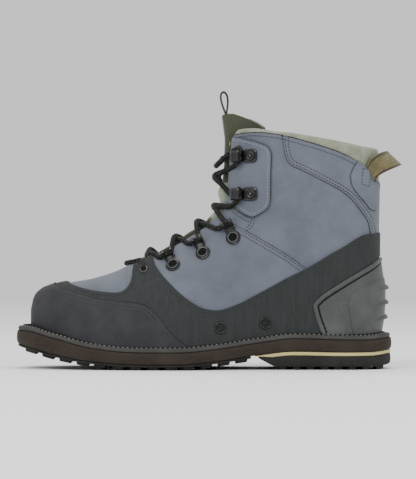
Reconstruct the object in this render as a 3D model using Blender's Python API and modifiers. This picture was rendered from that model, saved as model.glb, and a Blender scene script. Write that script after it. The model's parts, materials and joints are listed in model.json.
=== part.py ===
"""A wading boot for the left foot: lugged rubber sole, lasted upper, padded collar and laces.

The toe points to -X, the lateral side to -Y and the origin is the middle of the heel's tread.
Lengths are metres. Places along the boot are shares of the sole's length, from the toe tip.
Heights on the upper are shares of the upper's height, from the feather edge above the welt.
"""
import math

import bmesh
import bpy
import numpy as np
from mathutils import Matrix, Vector
from mathutils.bvhtree import BVHTree

# Driving sizes
SOLE_LENGTH = 0.320
BALL_WIDTH = 0.118
HEEL_WIDTH = 0.086
UPPER_HEIGHT = 0.1735
SHAFT_WIDTH = 0.088
TOE_SPRING = 0.0167
HEEL_LIFT = 0.0108
TOE_OFFSET = 0.010
TOE_BUMPER = 0.0038
OUTSOLE_THICKNESS = 0.0045
LUG_HEIGHT = 0.0024
MIDSOLE_THICKNESS = 0.0098
WELT_THICKNESS = 0.0038
WEDGE_THICKNESS = 0.0030
INSOLE_THICKNESS = 0.0035
SIDE_LEDGE = 0.0070
WELT_INSET = 0.0008
UPPER_WALL = 0.0025
FOXING_WALL = 0.0016
TOE_CAP_WALL = 0.0021
COUNTER_WALL = 0.0024
SPUR_STAND = 0.0042
SPUR_HEIGHT = 0.0065
COLLAR_PADDING = 0.0075
TONGUE_THICKNESS = 0.0040
TONGUE_TUCK = 0.011
TONGUE_CLEARANCE = 0.0016
TONGUE_CROWN = 0.0008
TONGUE_RISE = 0.0175
TONGUE_LEAN = 0.0008
THROAT_HALF_GAP = 0.015
LACE_DIAMETER = 0.0045
LACE_ARCH = 0.003
LACE_STAND = 0.0052
LACE_SPACE = 0.0024
LOOP_REACH = 0.0105
LOOP_RADIUS = 0.0036
HOOK_REACH = 0.0165
HOOK_HEIGHT = 0.0068
RIVET_DIAMETER = 0.0095
PLATE_WIDTH = 0.0105
PLATE_THICKNESS = 0.0012
EYELET_DIAMETER = 0.0075
VENT_DIAMETER = 0.0095
WEBBING_WIDTH = 0.017
WEBBING_THICKNESS = 0.0022
PULL_HALF_SPAN = 0.030
PULL_STAND = 0.0105
PULL_ANCHOR_RISE = 0.775
PULL_LIFT = 0.085
PULL_LOOP_HEIGHT = 0.019
SPUR_DROP = -0.03
SPUR_TURN = 1.25
SPUR_RISES = (0.226, 0.153, 0.080)
GAP = 0.0003
FEATHER_GAP = 0.0009

# Places that the rest is measured from, as shares of the sole's length
HEEL_TREAD_AT = 0.825
UPPER_TOE_AT = 0.043
TOE_ROUND = 0.19
HEEL_ROUND = 0.125
SEAM_STEP = 0.004
MERGE = 0.00001


def table(names, *rows):
    """Rows of shares as named columns."""
    return dict(zip(names.split(), np.array(rows, float).T))


SOLE = table(
    "along toe_rise heel_rise bumper width_ball width_heel centre",
    (0.00, 1.00, 0.00, 0.35, 0.82, 0.0, 1.00),
    (0.05, 0.76, 0.00, 0.95, 0.84, 0.0, 0.98),
    (0.10, 0.50, 0.00, 0.92, 0.87, 0.0, 0.90),
    (0.20, 0.16, 0.00, 0.30, 0.94, 0.0, 0.62),
    (0.30, 0.02, 0.00, 0.00, 0.99, 0.0, 0.22),
    (0.34, 0.00, 0.00, 0.00, 1.00, 0.0, 0.08),
    (0.43, 0.00, 0.00, 0.00, 0.98, 0.0, -0.10),
    (0.53, 0.00, 0.24, 0.00, 0.86, 0.0, -0.20),
    (0.64, 0.00, 0.70, 0.06, 0.30, 0.62, -0.12),
    (0.74, 0.00, 1.00, 0.20, 0.00, 0.98, 0.00),
    (0.87, 0.00, 0.94, 0.10, 0.00, 1.00, 0.00),
    (0.94, 0.00, 0.96, 0.00, 0.00, 1.00, 0.00),
    (1.00, 0.00, 1.15, 0.00, 0.00, 1.00, 0.00),
)

# The back line of the upper, and how far the leg's form has taken over from the foot's
BACK = table(
    "rise along shaft",
    (0.00, 0.966, 0.00),
    (0.10, 0.974, 0.05),
    (0.20, 0.976, 0.22),
    (0.39, 0.966, 0.62),
    (0.57, 0.967, 0.90),
    (0.75, 0.969, 1.00),
    (1.20, 0.971, 1.00),
)

# Each section of the upper runs from its front point to its foot on the feather edge or back line.
# The last column is the number of steps to the next row.
SECTION = table(
    "front front_rise foot foot_rise bow round fullness throat steps",
    (0.043, 0.079, 0.043, 0.000, 0.00, 0.85, 2.0, 0.00, 1),
    (0.051, 0.142, 0.051, 0.000, 0.00, 0.85, 2.1, 0.00, 1),
    (0.068, 0.186, 0.068, 0.000, 0.00, 0.85, 2.2, 0.00, 1),
    (0.099, 0.226, 0.099, 0.000, 0.00, 0.85, 2.3, 0.00, 1),
    (0.165, 0.283, 0.165, 0.000, 0.00, 0.85, 2.3, 0.00, 1),
    (0.213, 0.318, 0.213, 0.000, 0.00, 0.85, 2.2, 0.00, 1),
    (0.266, 0.362, 0.266, 0.000, 0.00, 0.83, 2.1, 0.00, 2),
    (0.317, 0.415, 0.325, 0.000, 0.00, 0.80, 2.0, 0.75, 1),
    (0.397, 0.476, 0.410, 0.000, 0.00, 0.75, 2.0, 0.90, 2),
    (0.463, 0.547, 0.511, 0.000, 0.00, 0.66, 2.0, 0.95, 2),
    (0.511, 0.604, 0.634, 0.000, 0.00, 0.52, 2.0, 1.00, 2),
    (0.539, 0.650, 0.761, 0.000, 0.00, 0.42, 2.0, 1.10, 3),
    (0.550, 0.700, 0.876, 0.000, 0.00, 0.36, 2.0, 1.18, 4),
    (0.553, 0.760, 0.966, 0.000, 0.00, 0.34, 2.0, 1.20, 2),
    (0.554, 0.810, 0.976, 0.167, 0.00, 0.38, 2.0, 1.22, 1),
    (0.555, 0.857, 0.966, 0.388, 0.00, 0.42, 2.0, 1.24, 1),
    (0.556, 0.919, 0.967, 0.568, 0.03, 0.44, 2.0, 1.26, 2),
    (0.558, 1.000, 0.969, 0.736, 0.11, 0.45, 2.0, 1.28, 1),
)
COLLAR_ROW = len(SECTION["front"]) - 1
THROAT_ROW = 6
SECTION["row"] = np.arange(COLLAR_ROW + 1.0)
SHELL_ROWS = np.concatenate([
    row + np.arange(steps) / steps for row, steps in enumerate(SECTION["steps"][:-1])] + [[COLLAR_ROW]])

# Side outlines of the panels laid on the upper: places along the sole and heights up the upper
TOE_CAP_EDGE = table(
    "along rise",
    (0.091, 0.260), (0.100, 0.232), (0.120, 0.219), (0.170, 0.218), (0.222, 0.212), (0.275, 0.212),
    (0.336, 0.204), (0.357, 0.188), (0.381, 0.146), (0.409, 0.078), (0.436, 0.030), (0.460, 0.000),
)
FOXING_TOP = table(
    "along rise",
    (0.091, 0.265), (0.104, 0.236), (0.157, 0.251), (0.210, 0.248), (0.264, 0.252), (0.290, 0.267),
    (0.306, 0.303), (0.314, 0.352), (0.318, 0.440), (0.365, 0.470), (0.368, 0.415), (0.383, 0.365),
    (0.415, 0.299), (0.463, 0.221), (0.503, 0.176), (0.540, 0.162), (0.592, 0.179), (0.652, 0.220),
    (0.758, 0.303), (0.864, 0.421), (0.938, 0.490), (1.060, 0.500),
)
COUNTER_EDGE = table(
    "along rise",
    (1.060, 0.405), (0.979, 0.385), (0.935, 0.337), (0.864, 0.255), (0.804, 0.175), (0.789, 0.137),
    (0.794, 0.090), (0.811, 0.000),
)
ANKLE_PATCH = table(
    "along rise",
    (0.520, 1.100), (0.585, 1.060), (0.617, 0.960), (0.662, 0.930), (0.679, 0.895), (0.677, 0.780),
    (0.676, 0.662), (0.668, 0.622), (0.631, 0.589), (0.593, 0.632), (0.520, 0.690),
)

# Half of the tongue's top in plan, in metres: how far back of its front, and how far from the middle
TONGUE_TOP = table("back half", (0, 0), (0.0008, 0.006), (0.0035, 0.0085), (0.013, 0.0096), (0.0215, 0.0098),
                   (0.0290, 0.0150))

# The top of the padded collar
COLLAR_TOP = table(
    "along rise",
    (0.560, 1.015), (0.589, 1.032), (0.617, 1.027), (0.706, 0.984), (0.829, 0.948), (0.975, 0.905),
)

# Fittings up each side of the throat, from the toe: place of the rivet
EYELET = table("along rise", (0.343, 0.369))
LACE_LOOPS = table("along rise", (0.420, 0.396), (0.499, 0.447), (0.579, 0.503))
HOOKS = table("along rise", (0.628, 0.702), (0.628, 0.888))
VENTS = table("along rise", (0.542, 0.078), (0.662, 0.066))


def shape(columns, key, name, at):
    """A smooth curve through a table's rows that never overshoots them."""
    knots, values = columns[key], columns[name]
    steps = np.diff(knots)
    slopes = np.diff(values) / steps
    product = slopes[:-1] * slopes[1:]
    inner = np.where(product > 0, 2 * product / np.where(product > 0, slopes[:-1] + slopes[1:], 1), 0)
    tangents = np.concatenate([slopes[:1], inner, slopes[-1:]])
    at = np.clip(at, knots[0], knots[-1])
    cell = np.clip(np.searchsorted(knots, at, side="right") - 1, 0, len(steps) - 1)
    t = (at - knots[cell]) / steps[cell]
    return ((1 + 2 * t) * (1 - t) ** 2 * values[cell] + t * t * (3 - 2 * t) * values[cell + 1]
            + steps[cell] * t * (1 - t) * ((1 - t) * tangents[cell] - t * tangents[cell + 1]))


# Sole and last

def to_x(along):
    return (along - HEEL_TREAD_AT) * SOLE_LENGTH


def to_along(x):
    return x / SOLE_LENGTH + HEEL_TREAD_AT


def unit_height(along):
    """Height of the midsole's underside above the floor."""
    return (OUTSOLE_THICKNESS + TOE_SPRING * shape(SOLE, "along", "toe_rise", along)
            + HEEL_LIFT * shape(SOLE, "along", "heel_rise", along))


def welt_top(along):
    bumper = TOE_BUMPER * shape(SOLE, "along", "bumper", along)
    return unit_height(along) + MIDSOLE_THICKNESS + bumper + WELT_THICKNESS


def feather(along):
    """Height of the upper's bottom edge."""
    return welt_top(along) + FEATHER_GAP


def rounding(share, fullness=2.2):
    """Half-width near a rounded end: 0 at its tip, 1 where the round ends."""
    share = np.clip(share, 0.0, 1.0)
    return (1 - (1 - share) ** fullness) ** (1 / fullness)


def plan_half_width(along):
    return (BALL_WIDTH * shape(SOLE, "along", "width_ball", along)
            + HEEL_WIDTH * shape(SOLE, "along", "width_heel", along)) / 2


def centre_line(along):
    return TOE_OFFSET * shape(SOLE, "along", "centre", along)


def sole_half_width(along, ledge):
    """Half-width of the sole's outline, drawn in by a ledge all round."""
    inset = ledge / SOLE_LENGTH
    toe = rounding((along - inset) / TOE_ROUND)
    heel = rounding((1 - inset - along) / HEEL_ROUND)
    return (plan_half_width(along) - ledge) * toe * heel


def height_at(along, rise):
    return feather(along) + rise * UPPER_HEIGHT


def upper_half_width(along, height):
    """Half-width of the upper: the foot's outline low down, the leg's higher up, round at both ends."""
    rise = (height - feather(along)) / UPPER_HEIGHT
    leg = shape(BACK, "rise", "shaft", rise)
    back = shape(BACK, "rise", "along", rise)
    foot = plan_half_width(along) - SIDE_LEDGE
    width = foot * (1 - leg) + SHAFT_WIDTH / 2 * leg
    return width * rounding((along - UPPER_TOE_AT) / TOE_ROUND) * rounding((back - along) / HEEL_ROUND, 2.1)


def section_values(row):
    """A section's columns at any row number, its foot kept on the back line above the feather edge."""
    values = {name: shape(SECTION, "row", name, row) for name in SECTION if name != "row"}
    back = shape(BACK, "rise", "along", values["foot_rise"])
    values["foot"] = np.where(values["foot_rise"] > 0, back, values["foot"])
    return values


def middle_half_width(c):
    """Half-width of a section where the round over the foot ends."""
    along = c["front"] + (c["foot"] - c["front"]) * c["round"]
    front, foot = height_at(c["front"], c["front_rise"]), height_at(c["foot"], c["foot_rise"])
    return np.maximum(upper_half_width(along, front + (foot - front) * c["round"]), THROAT_HALF_GAP)


def skin_point(row, angle, flank, side):
    """A point of the last's form under the outer face, with the throat closed.

    row counts the sections from the toe to the collar. angle runs over the round of the foot, 0 at the
    ridge. flank runs on from there, 0 to 1, down to the section's foot. side is -1 lateral, 1 medial.
    """
    c = section_values(row)
    front = np.stack([to_x(c["front"]), height_at(c["front"], c["front_rise"])])
    foot = np.stack([to_x(c["foot"]), height_at(c["foot"], c["foot_rise"])])
    ruling = foot - front
    depth = np.where(flank <= 0, c["round"] * (1 - np.cos(angle) ** (2 / c["fullness"])),
                     c["round"] + (1 - c["round"]) * np.sin(math.pi / 2 * flank))
    length = np.maximum(np.hypot(*ruling), MERGE)
    lift = c["bow"] * length * (1 - np.abs(2 * depth - 1) ** 3)
    x = front[0] + ruling[0] * depth - lift * ruling[1] / length
    z = front[1] + ruling[1] * depth + lift * ruling[0] / length
    along = to_along(x)
    leg = shape(BACK, "rise", "shaft", (z - feather(along)) / UPPER_HEIGHT)
    y = (centre_line(along) * (1 - leg)
         + side * upper_half_width(along, z) * np.sin(angle) ** (2 / c["fullness"]))
    return np.stack([x, y, z], axis=-1)


def angle_at_width(c, width):
    """How far round a section a point at this half-width lies."""
    return np.arcsin(np.clip(width / middle_half_width(c), 0, 0.97) ** (c["fullness"] / 2))


def upper_point(row, swing, side):
    """A point of the outer face: swing is 0 at the throat's edge, 1 where the round ends, 2 at the foot."""
    c = section_values(row)
    start = angle_at_width(c, THROAT_HALF_GAP * c["throat"])
    angle = start + (math.pi / 2 - start) * np.clip(swing, 0, 1)
    return skin_point(row, angle, np.clip(swing - 1, 0, 1), side)


# Meshes

parts = bpy.data.collections.new("wading_boot")
cutters = bpy.data.collections.new("cutters")


def material(name, colour, roughness, metallic=0.0):
    made = bpy.data.materials.new(name)
    made.use_nodes = True
    shader = made.node_tree.nodes["Principled BSDF"]
    shader.inputs["Base Color"].default_value = (*colour, 1.0)
    shader.inputs["Roughness"].default_value = roughness
    shader.inputs["Metallic"].default_value = metallic
    return made


def put(name, mesh, finish, collection=None):
    """An object in the scene, with its own material."""
    thing = bpy.data.objects.new(name, mesh)
    (collection or parts).objects.link(thing)
    mesh.materials.append(material(name, *finish))
    return thing


def put_cutter(name, mesh):
    thing = bpy.data.objects.new(name, mesh)
    cutters.objects.link(thing)
    thing.hide_render = True
    thing.display_type = "WIRE"
    return thing


def mesh_from(name, points, faces, closed=True):
    """A mesh of points and faces, with doubled points joined and a closed one's faces turned out."""
    bm = bmesh.new()
    corners = [bm.verts.new(point) for point in points]
    for face in faces:
        bm.faces.new([corners[i] for i in face])
    bmesh.ops.remove_doubles(bm, verts=bm.verts, dist=MERGE)
    if closed:
        bmesh.ops.recalc_face_normals(bm, faces=bm.faces)
    mesh = bpy.data.meshes.new(name)
    bm.to_mesh(mesh)
    bm.free()
    return mesh


def loft_mesh(name, rings):
    """Rings of points, shape (rings, points, 3), skinned and closed with a face at each end."""
    count, size = rings.shape[:2]
    faces = [(i * size + j, i * size + (j + 1) % size, (i + 1) * size + (j + 1) % size, (i + 1) * size + j)
             for i in range(count - 1) for j in range(size)]
    faces += [tuple(range(size)), tuple(range((count - 1) * size, count * size))]
    return mesh_from(name, rings.reshape(-1, 3), faces)


def boolean(thing, cutter, operation):
    cut = thing.modifiers.new(operation.lower(), "BOOLEAN")
    cut.operation = operation
    cut.solver = "EXACT"
    cut.object = cutter


def baked(thing):
    """A copy of an object's evaluated mesh."""
    bpy.context.view_layer.update()
    graph = bpy.context.evaluated_depsgraph_get()
    return bpy.data.meshes.new_from_object(thing.evaluated_get(graph))


# The sole's layers

def end_spaced(count, first=0.0, last=1.0):
    """Shares from first to last, closer together towards both ends."""
    return first + (last - first) * (1 - np.cos(np.linspace(0, math.pi, count))) / 2


def sole_rings(along, ledge, top, bottom, columns=1, side_bulge=0.0):
    """Cross-sections of a layer: its flat top, its side with a bulge, and its underside in columns."""
    half = np.maximum(sole_half_width(along, ledge), 0)
    middle = centre_line(along)
    across = np.linspace(1, -1, columns + 1)
    points = [(middle - half, top), (middle + half, top)]
    if side_bulge:
        points.append((middle + half + side_bulge * np.sign(half), (top + bottom) / 2))
    points += [(middle + half * share, bottom) for share in across]
    if side_bulge:
        points.append((middle - half - side_bulge * np.sign(half), (top + bottom) / 2))
    return np.stack([np.stack([to_x(along), y, z], axis=-1) for y, z in points], axis=1)


def add_lugs(mesh, inset, depth, low_enough):
    """Each underside face drawn in and pushed down as a lug."""
    bm = bmesh.new()
    bm.from_mesh(mesh)
    down = [f for f in bm.faces if f.normal.z < -0.7 and len(f.verts) == 4 and f.calc_area() > low_enough]
    bmesh.ops.inset_individual(bm, faces=down, thickness=inset, use_even_offset=True)
    lugs = bmesh.ops.extrude_discrete_faces(bm, faces=down)["faces"]
    corners = {v for face in lugs for v in face.verts}
    for corner in corners:
        corner.co.z -= depth
    bm.to_mesh(mesh)
    bm.free()


def build_sole():
    rubber, brown = ((0.045, 0.045, 0.043), 0.75), ((0.075, 0.062, 0.052), 0.7)
    tan, grey = ((0.42, 0.37, 0.22), 0.75), ((0.12, 0.12, 0.115), 0.75)
    whole = end_spaced(30)
    edge = end_spaced(30, WELT_INSET / SOLE_LENGTH, 1 - WELT_INSET / SOLE_LENGTH)

    welt = sole_rings(edge, WELT_INSET, welt_top(edge), welt_top(edge) - WELT_THICKNESS + GAP)
    put("welt", loft_mesh("welt", welt), grey)

    midsole = sole_rings(whole, 0.0, welt_top(whole) - WELT_THICKNESS, unit_height(whole), side_bulge=0.0006)
    put("midsole", loft_mesh("midsole", midsole), brown)

    front = np.concatenate([end_spaced(4, 0.001, 0.03)[:-1], np.linspace(0.03, 0.625, 13)])
    under = unit_height(front) - GAP
    body = OUTSOLE_THICKNESS - GAP - LUG_HEIGHT
    outsole = loft_mesh("outsole", sole_rings(front, 0.0006, under, under - body, columns=4))
    add_lugs(outsole, 0.0022, LUG_HEIGHT, 0.00012)
    put("outsole", outsole, rubber)

    back = np.concatenate([np.linspace(0.638, 0.93, 8), end_spaced(12, 0.93, 1.0)[5:]])
    fade = np.clip((back - 0.630) / 0.05, 0, 1)
    under = unit_height(back) - GAP
    wedge = sole_rings(back, 0.0004, under, under - WEDGE_THICKNESS * fade)
    put("heel_wedge", loft_mesh("heel_wedge", wedge), tan)

    heel = np.concatenate([[0.646, 0.668], np.linspace(0.688, 0.962, 6), end_spaced(10, 0.962, 0.9985)[4:]])
    top = unit_height(heel) - 2 * GAP - WEDGE_THICKNESS * np.clip((heel - 0.630) / 0.05, 0, 1)
    lift = LUG_HEIGHT * np.clip((heel - 0.95) / 0.05, 0, 1) ** 2
    breast = np.clip((0.688 - heel) / (0.688 - 0.646), 0, 1)
    bottom = (LUG_HEIGHT + lift) * (1 - breast) + (top - 0.0012) * breast
    block = loft_mesh("heel_block", sole_rings(heel, 0.0002, top, bottom, columns=3))
    add_lugs(block, 0.0022, LUG_HEIGHT, 0.00018)
    put("heel_block", block, rubber)

    inset = UPPER_WALL + 4 * GAP
    first, last = UPPER_TOE_AT + 1.2 * inset / SOLE_LENGTH, BACK["along"][0] - 2.4 * inset / SOLE_LENGTH
    inner = end_spaced(22, first, last)
    half = ((plan_half_width(inner) - SIDE_LEDGE - inset)
            * rounding((inner - first) / TOE_ROUND) * rounding((last - inner) / HEEL_ROUND, 2.0))
    low = welt_top(inner) + GAP
    points = [(-half, low + INSOLE_THICKNESS), (half, low + INSOLE_THICKNESS), (half, low), (-half, low)]
    rings = np.stack([np.stack([to_x(inner), centre_line(inner) + y, z], axis=-1) for y, z in points], axis=1)
    put("insole", loft_mesh("insole", rings), ((0.10, 0.10, 0.09), 0.9))


# The upper and what is laid on it

def stand_off(mesh, distances):
    """A sheet's points moved out along their normals, by one distance or one for each point."""
    bm = bmesh.new()
    bm.from_mesh(mesh)
    bm.normal_update()
    distances = np.broadcast_to(distances, len(bm.verts))
    moves = [corner.normal * distance for corner, distance in zip(bm.verts, distances.tolist())]
    for corner, move in zip(bm.verts, moves):
        corner.co += move
    bm.to_mesh(mesh)
    bm.free()


SHELL_SWING = np.concatenate([np.linspace(0, 1, 5), np.linspace(1, 2, 4)[1:]])


def shell_mesh(name, stand=0.0):
    """The upper's outer face as an open sheet, stood off it along its normals."""
    rows, swing = SHELL_ROWS, SHELL_SWING
    points, faces = [], []
    width = len(swing)
    for side in (-1, 1):
        grid = np.stack([upper_point(np.full(width, row), swing, side) for row in rows])
        base = len(points)
        points += grid.reshape(-1, 3).tolist()
        for i in range(len(rows) - 1):
            for j in range(width - 1):
                a = base + i * width + j
                corners = [(a, a + 1, a + width + 1), (a, a + width + 1, a + width)]
                faces += corners if side < 0 else [c[::-1] for c in corners]
    mesh = mesh_from(name, points, faces, closed=False)
    stand_off(mesh, stand)
    return mesh


def give_wall(thing, wall, outward):
    solid = thing.modifiers.new("wall", "SOLIDIFY")
    solid.thickness = wall
    solid.offset = 1.0 if outward else -1.0
    solid.use_even_offset = True


def side_prism(name, outline, sides=(-1, 1)):
    """A side outline carried straight across the boot, as a cutter."""
    reach = BALL_WIDTH
    low, high = (-reach if -1 in sides else 0.0005), (reach if 1 in sides else -0.0005)
    x, z = outline
    rings = np.stack([np.stack([x, np.full(len(x), y), z], axis=-1) for y in (low, high)])
    return put_cutter(name, loft_mesh(name, rings))


def outline_points(columns, steps=2):
    """A table's outline as x and z, smoothed between its rows."""
    count = len(columns["along"])
    columns = dict(columns, row=np.arange(float(count)))
    rows = np.linspace(0, count - 1, (count - 1) * steps + 1)
    along = shape(columns, "row", "along", rows)
    rise = shape(columns, "row", "rise", rows)
    return to_x(along), height_at(along, rise)


def moved_in(x, z, distance):
    """An open outline shifted to its right-hand side."""
    dx, dz = np.gradient(x), np.gradient(z)
    length = np.hypot(dx, dz)
    return x + distance * dz / length, z - distance * dx / length


def seat_line(first, last, steps=24):
    """The line that the panels' bottom edges keep above the welt."""
    along = np.linspace(first, last, steps)
    return to_x(along), feather(along)


def joined(*runs):
    return np.concatenate([run[0] for run in runs]), np.concatenate([run[1] for run in runs])


def build_upper():
    grey = ((0.17, 0.185, 0.22), 0.85)
    upper = put("upper", shell_mesh("upper"), grey)
    give_wall(upper, UPPER_WALL, outward=False)
    low_x, low_z = seat_line(-0.1, 1.1, 60)
    bed = joined((low_x, low_z - FEATHER_GAP / 2), ([low_x[-1], low_x[0]], [2 * UPPER_HEIGHT] * 2))
    boolean(upper, side_prism("upper_bed", bed), "INTERSECT")


def overlay(name, wall, outline, finish, sides=(-1, 1)):
    """A panel: a wall stood off the upper, kept inside a side outline."""
    panel = put(name, shell_mesh(name, stand=GAP), finish)
    give_wall(panel, wall, outward=True)
    boolean(panel, side_prism(name + "_outline", outline, sides), "INTERSECT")
    return panel


def build_overlays():
    cap_x, cap_z = outline_points(TOE_CAP_EDGE)
    front_x = to_x(-0.1)
    cap_foot = seat_line(TOE_CAP_EDGE["along"][-1] - SEAM_STEP, -0.1)
    cap = joined((cap_x, cap_z), cap_foot, ([front_x], cap_z[:1]))
    overlay("toe_cap", TOE_CAP_WALL, cap, ((0.045, 0.047, 0.055), 0.6))

    rear = outline_points(COUNTER_EDGE)
    counter = joined(rear, seat_line(COUNTER_EDGE["along"][-1] + SEAM_STEP, 1.06))
    overlay("heel_counter", COUNTER_WALL, counter, ((0.085, 0.085, 0.09), 0.45))

    edge_x, edge_z = moved_in(cap_x, cap_z, -GAP)
    foxing = joined(outline_points(FOXING_TOP), moved_in(*rear, GAP),
                    seat_line(COUNTER_EDGE["along"][-1] - SEAM_STEP, TOE_CAP_EDGE["along"][-1] + SEAM_STEP),
                    (edge_x[::-1], edge_z[::-1]))
    overlay("foxing", FOXING_WALL, foxing, ((0.045, 0.052, 0.052), 0.8))

    for name, side in (("ankle_patch_lateral", -1), ("ankle_patch_medial", 1)):
        overlay(name, FOXING_WALL, outline_points(ANKLE_PATCH), ((0.17, 0.185, 0.22), 0.85), (side,))


def tongue_columns(gap):
    """Half-widths across the tongue: its crown, the bend down at the throat's edge, and its tucked side."""
    reach = gap + TONGUE_TUCK
    crown, edge = max(gap - 0.008, 0.3 * reach), max(gap - 0.003, 0.55 * reach)
    half = np.array([0, crown / 2, crown, edge, (edge + reach) / 2, reach])
    return np.concatenate([-half[:0:-1], half])


def build_tongue():
    """A padded sheet under the throat: its middle stands up between the eyestays, then inside the cuff."""
    shell = SHELL_ROWS[SHELL_ROWS >= THROAT_ROW]
    rows = np.concatenate([shell[::-2][::-1], [COLLAR_ROW + 0.5, COLLAR_ROW + 1]])
    low, high, distances = [], [], []
    for row in rows:
        c = section_values(min(row, COLLAR_ROW))
        gap = THROAT_HALF_GAP * c["throat"]
        width = tongue_columns(gap)
        grid = skin_point(np.full(len(width), min(row, COLLAR_ROW)), angle_at_width(c, np.abs(width)),
                          np.zeros(len(width)), np.sign(width))
        crown = np.clip((gap - 0.0085) / 0.003, 0, 1) * (np.abs(width) < gap - 0.007)
        distances.append(TONGUE_CROWN * crown - (UPPER_WALL + TONGUE_CLEARANCE) * (1 - crown))
        front = np.array([to_x(c["front"]), 0, height_at(c["front"], c["front_rise"])])
        over = max(row - COLLAR_ROW, 0) * TONGUE_RISE
        low.append(grid + np.array([0, 0, over]))
        back, half = TONGUE_TOP["back"], TONGUE_TOP["half"]
        lean = TONGUE_LEAN * np.clip((row - COLLAR_ROW + 2) / 2, 0, 1.6)
        side = np.stack([back - lean - over * 0.1, half, over - 0.35 * over * back / back.max()], axis=-1)
        high.append(front + np.concatenate([side[:0:-1] * [1, -1, 1], side]))
    count, width = len(rows), 2 * len(TONGUE_TOP["back"]) - 1
    faces = [(i * width + j, i * width + j + 1, (i + 1) * width + j + 1, (i + 1) * width + j)
             for i in range(count - 1) for j in range(width - 1)]
    mesh = mesh_from("tongue", np.concatenate(low), faces, closed=False)
    if sum(face.normal.z for face in mesh.polygons) < 0:
        mesh.flip_normals()
    stand_off(mesh, np.concatenate(distances))
    collar = np.repeat(np.clip((rows - COLLAR_ROW + 2.4) / 1.0, 0, 1), width)
    for corner, above, share in zip(mesh.vertices, np.concatenate(high), collar):
        corner.co = np.array(corner.co) * (1 - share) + above * share
    tongue = put("tongue", mesh, ((0.10, 0.11, 0.075), 0.9))
    give_wall(tongue, TONGUE_THICKNESS, outward=False)


def unit(vectors):
    return vectors / np.linalg.norm(vectors, axis=-1, keepdims=True)


def build_collar():
    """A padded cuff inside the top edge: it rises above the leather, most of all at the back."""
    rings = {}
    for row in (COLLAR_ROW - 1, COLLAR_ROW - 0.5, COLLAR_ROW):
        sides = [upper_point(np.full(len(SHELL_SWING), row), SHELL_SWING, side) for side in (-1, 1)]
        line = np.concatenate([sides[0], sides[1][-2::-1]])
        tangent = np.gradient(line, axis=0)
        outward = unit(np.stack([tangent[:, 1], -tangent[:, 0], 0 * tangent[:, 0]], axis=-1))
        rings[row] = line, outward
    edge, outward = rings[COLLAR_ROW]
    along = to_along(edge[:, 0])
    top = height_at(along, shape(COLLAR_TOP, "along", "rise", along)) - edge[:, 2]
    skin, inside = -(UPPER_WALL + 4 * GAP), -(UPPER_WALL + 4 * GAP + COLLAR_PADDING)
    seat, roll = 2 * GAP, np.minimum(0.004, top * 0.45)
    over = [(skin, 0 * top + seat), (-GAP, 0 * top + seat), (-GAP, top - roll), (inside * 0.3, top),
            (inside * 0.7, top), (inside, top - roll), (inside, 0 * top)]
    section = [edge + outward * out + np.array([0, 0, 1.0]) * up[:, None] for out, up in over]
    section.append(rings[COLLAR_ROW - 0.5][0] + rings[COLLAR_ROW - 0.5][1] * inside)
    section.append(rings[COLLAR_ROW - 1][0] + rings[COLLAR_ROW - 1][1] * (inside * 0.7))
    section.append(rings[COLLAR_ROW - 1][0] + rings[COLLAR_ROW - 1][1] * skin)
    section.append(rings[COLLAR_ROW - 0.5][0] + rings[COLLAR_ROW - 0.5][1] * skin)
    mesh = loft_mesh("collar_cuff", np.stack(section, axis=1))
    put("collar_cuff", mesh, ((0.28, 0.30, 0.22), 0.9))


def band(name, centre, across, width, thickness, finish):
    """A flat strap along a path, its width along the given directions."""
    across = unit(across)
    out = unit(np.cross(np.gradient(centre, axis=0), across))
    corners = [(-1, -1), (1, -1), (1, 1), (-1, 1)]
    rings = np.stack([centre + across * width / 2 * a + out * thickness / 2 * b for a, b in corners], axis=1)
    put(name, loft_mesh(name, rings), finish)


def build_pulls():
    """The webbing handle behind the collar, and the ribbon on the tongue."""
    turn = np.linspace(-math.pi / 2, math.pi / 2, 17)
    rise = PULL_ANCHOR_RISE + PULL_LIFT * np.cos(turn) ** 0.8
    half = SHAFT_WIDTH / 2
    y = PULL_HALF_SPAN * np.sin(turn)
    back = shape(BACK, "rise", "along", rise)
    round_share = 1 - (1 - np.abs(y / half) ** 2.1) ** (1 / 2.1)
    skin_x = to_x(back - HEEL_ROUND * round_share)
    skin = np.stack([skin_x, y, height_at(back, rise)], axis=-1)
    normal = np.gradient(skin * [1, 1, 0], axis=0)
    normal = unit(np.stack([normal[:, 1], -normal[:, 0], 0 * y], axis=-1))
    stand = WEBBING_THICKNESS / 2 + 2 * GAP + PULL_STAND * np.cos(turn) ** 1.5
    lean = np.broadcast_to([0.72, 0.0, -0.69], normal.shape)
    flat = lean - normal * (lean * normal).sum(axis=1, keepdims=True) * (np.sin(turn) ** 2)[:, None]
    band("heel_pull", skin + normal * stand[:, None], flat, WEBBING_WIDTH, WEBBING_THICKNESS,
         ((0.20, 0.175, 0.105), 0.9))

    foot_x, foot_z = tongue_top()
    bend = np.linspace(0, math.pi, 11)
    loop_x = foot_x - 0.0028 * np.cos(bend) - 0.0024 * np.sin(bend)
    loop_z = foot_z + 2 * GAP + PULL_LOOP_HEIGHT * np.sin(bend) ** 0.6
    centre = np.stack([loop_x, 0 * bend, loop_z], axis=-1)
    band("tongue_pull", centre, np.broadcast_to([0.0, 1.0, 0.0], centre.shape), 0.008, 0.0011,
         ((0.11, 0.11, 0.10), 0.9))


def tongue_top():
    """The middle of the tongue's top edge."""
    mesh = baked(bpy.data.objects["tongue"])
    middle = [v.co for v in mesh.vertices if abs(v.co.y) < 0.001]
    top = max(v.z for v in middle)
    high = [v for v in middle if v.z > top - 0.002]
    place = sum(v.x for v in high) / len(high), top
    bpy.data.meshes.remove(mesh)
    return place


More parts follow.
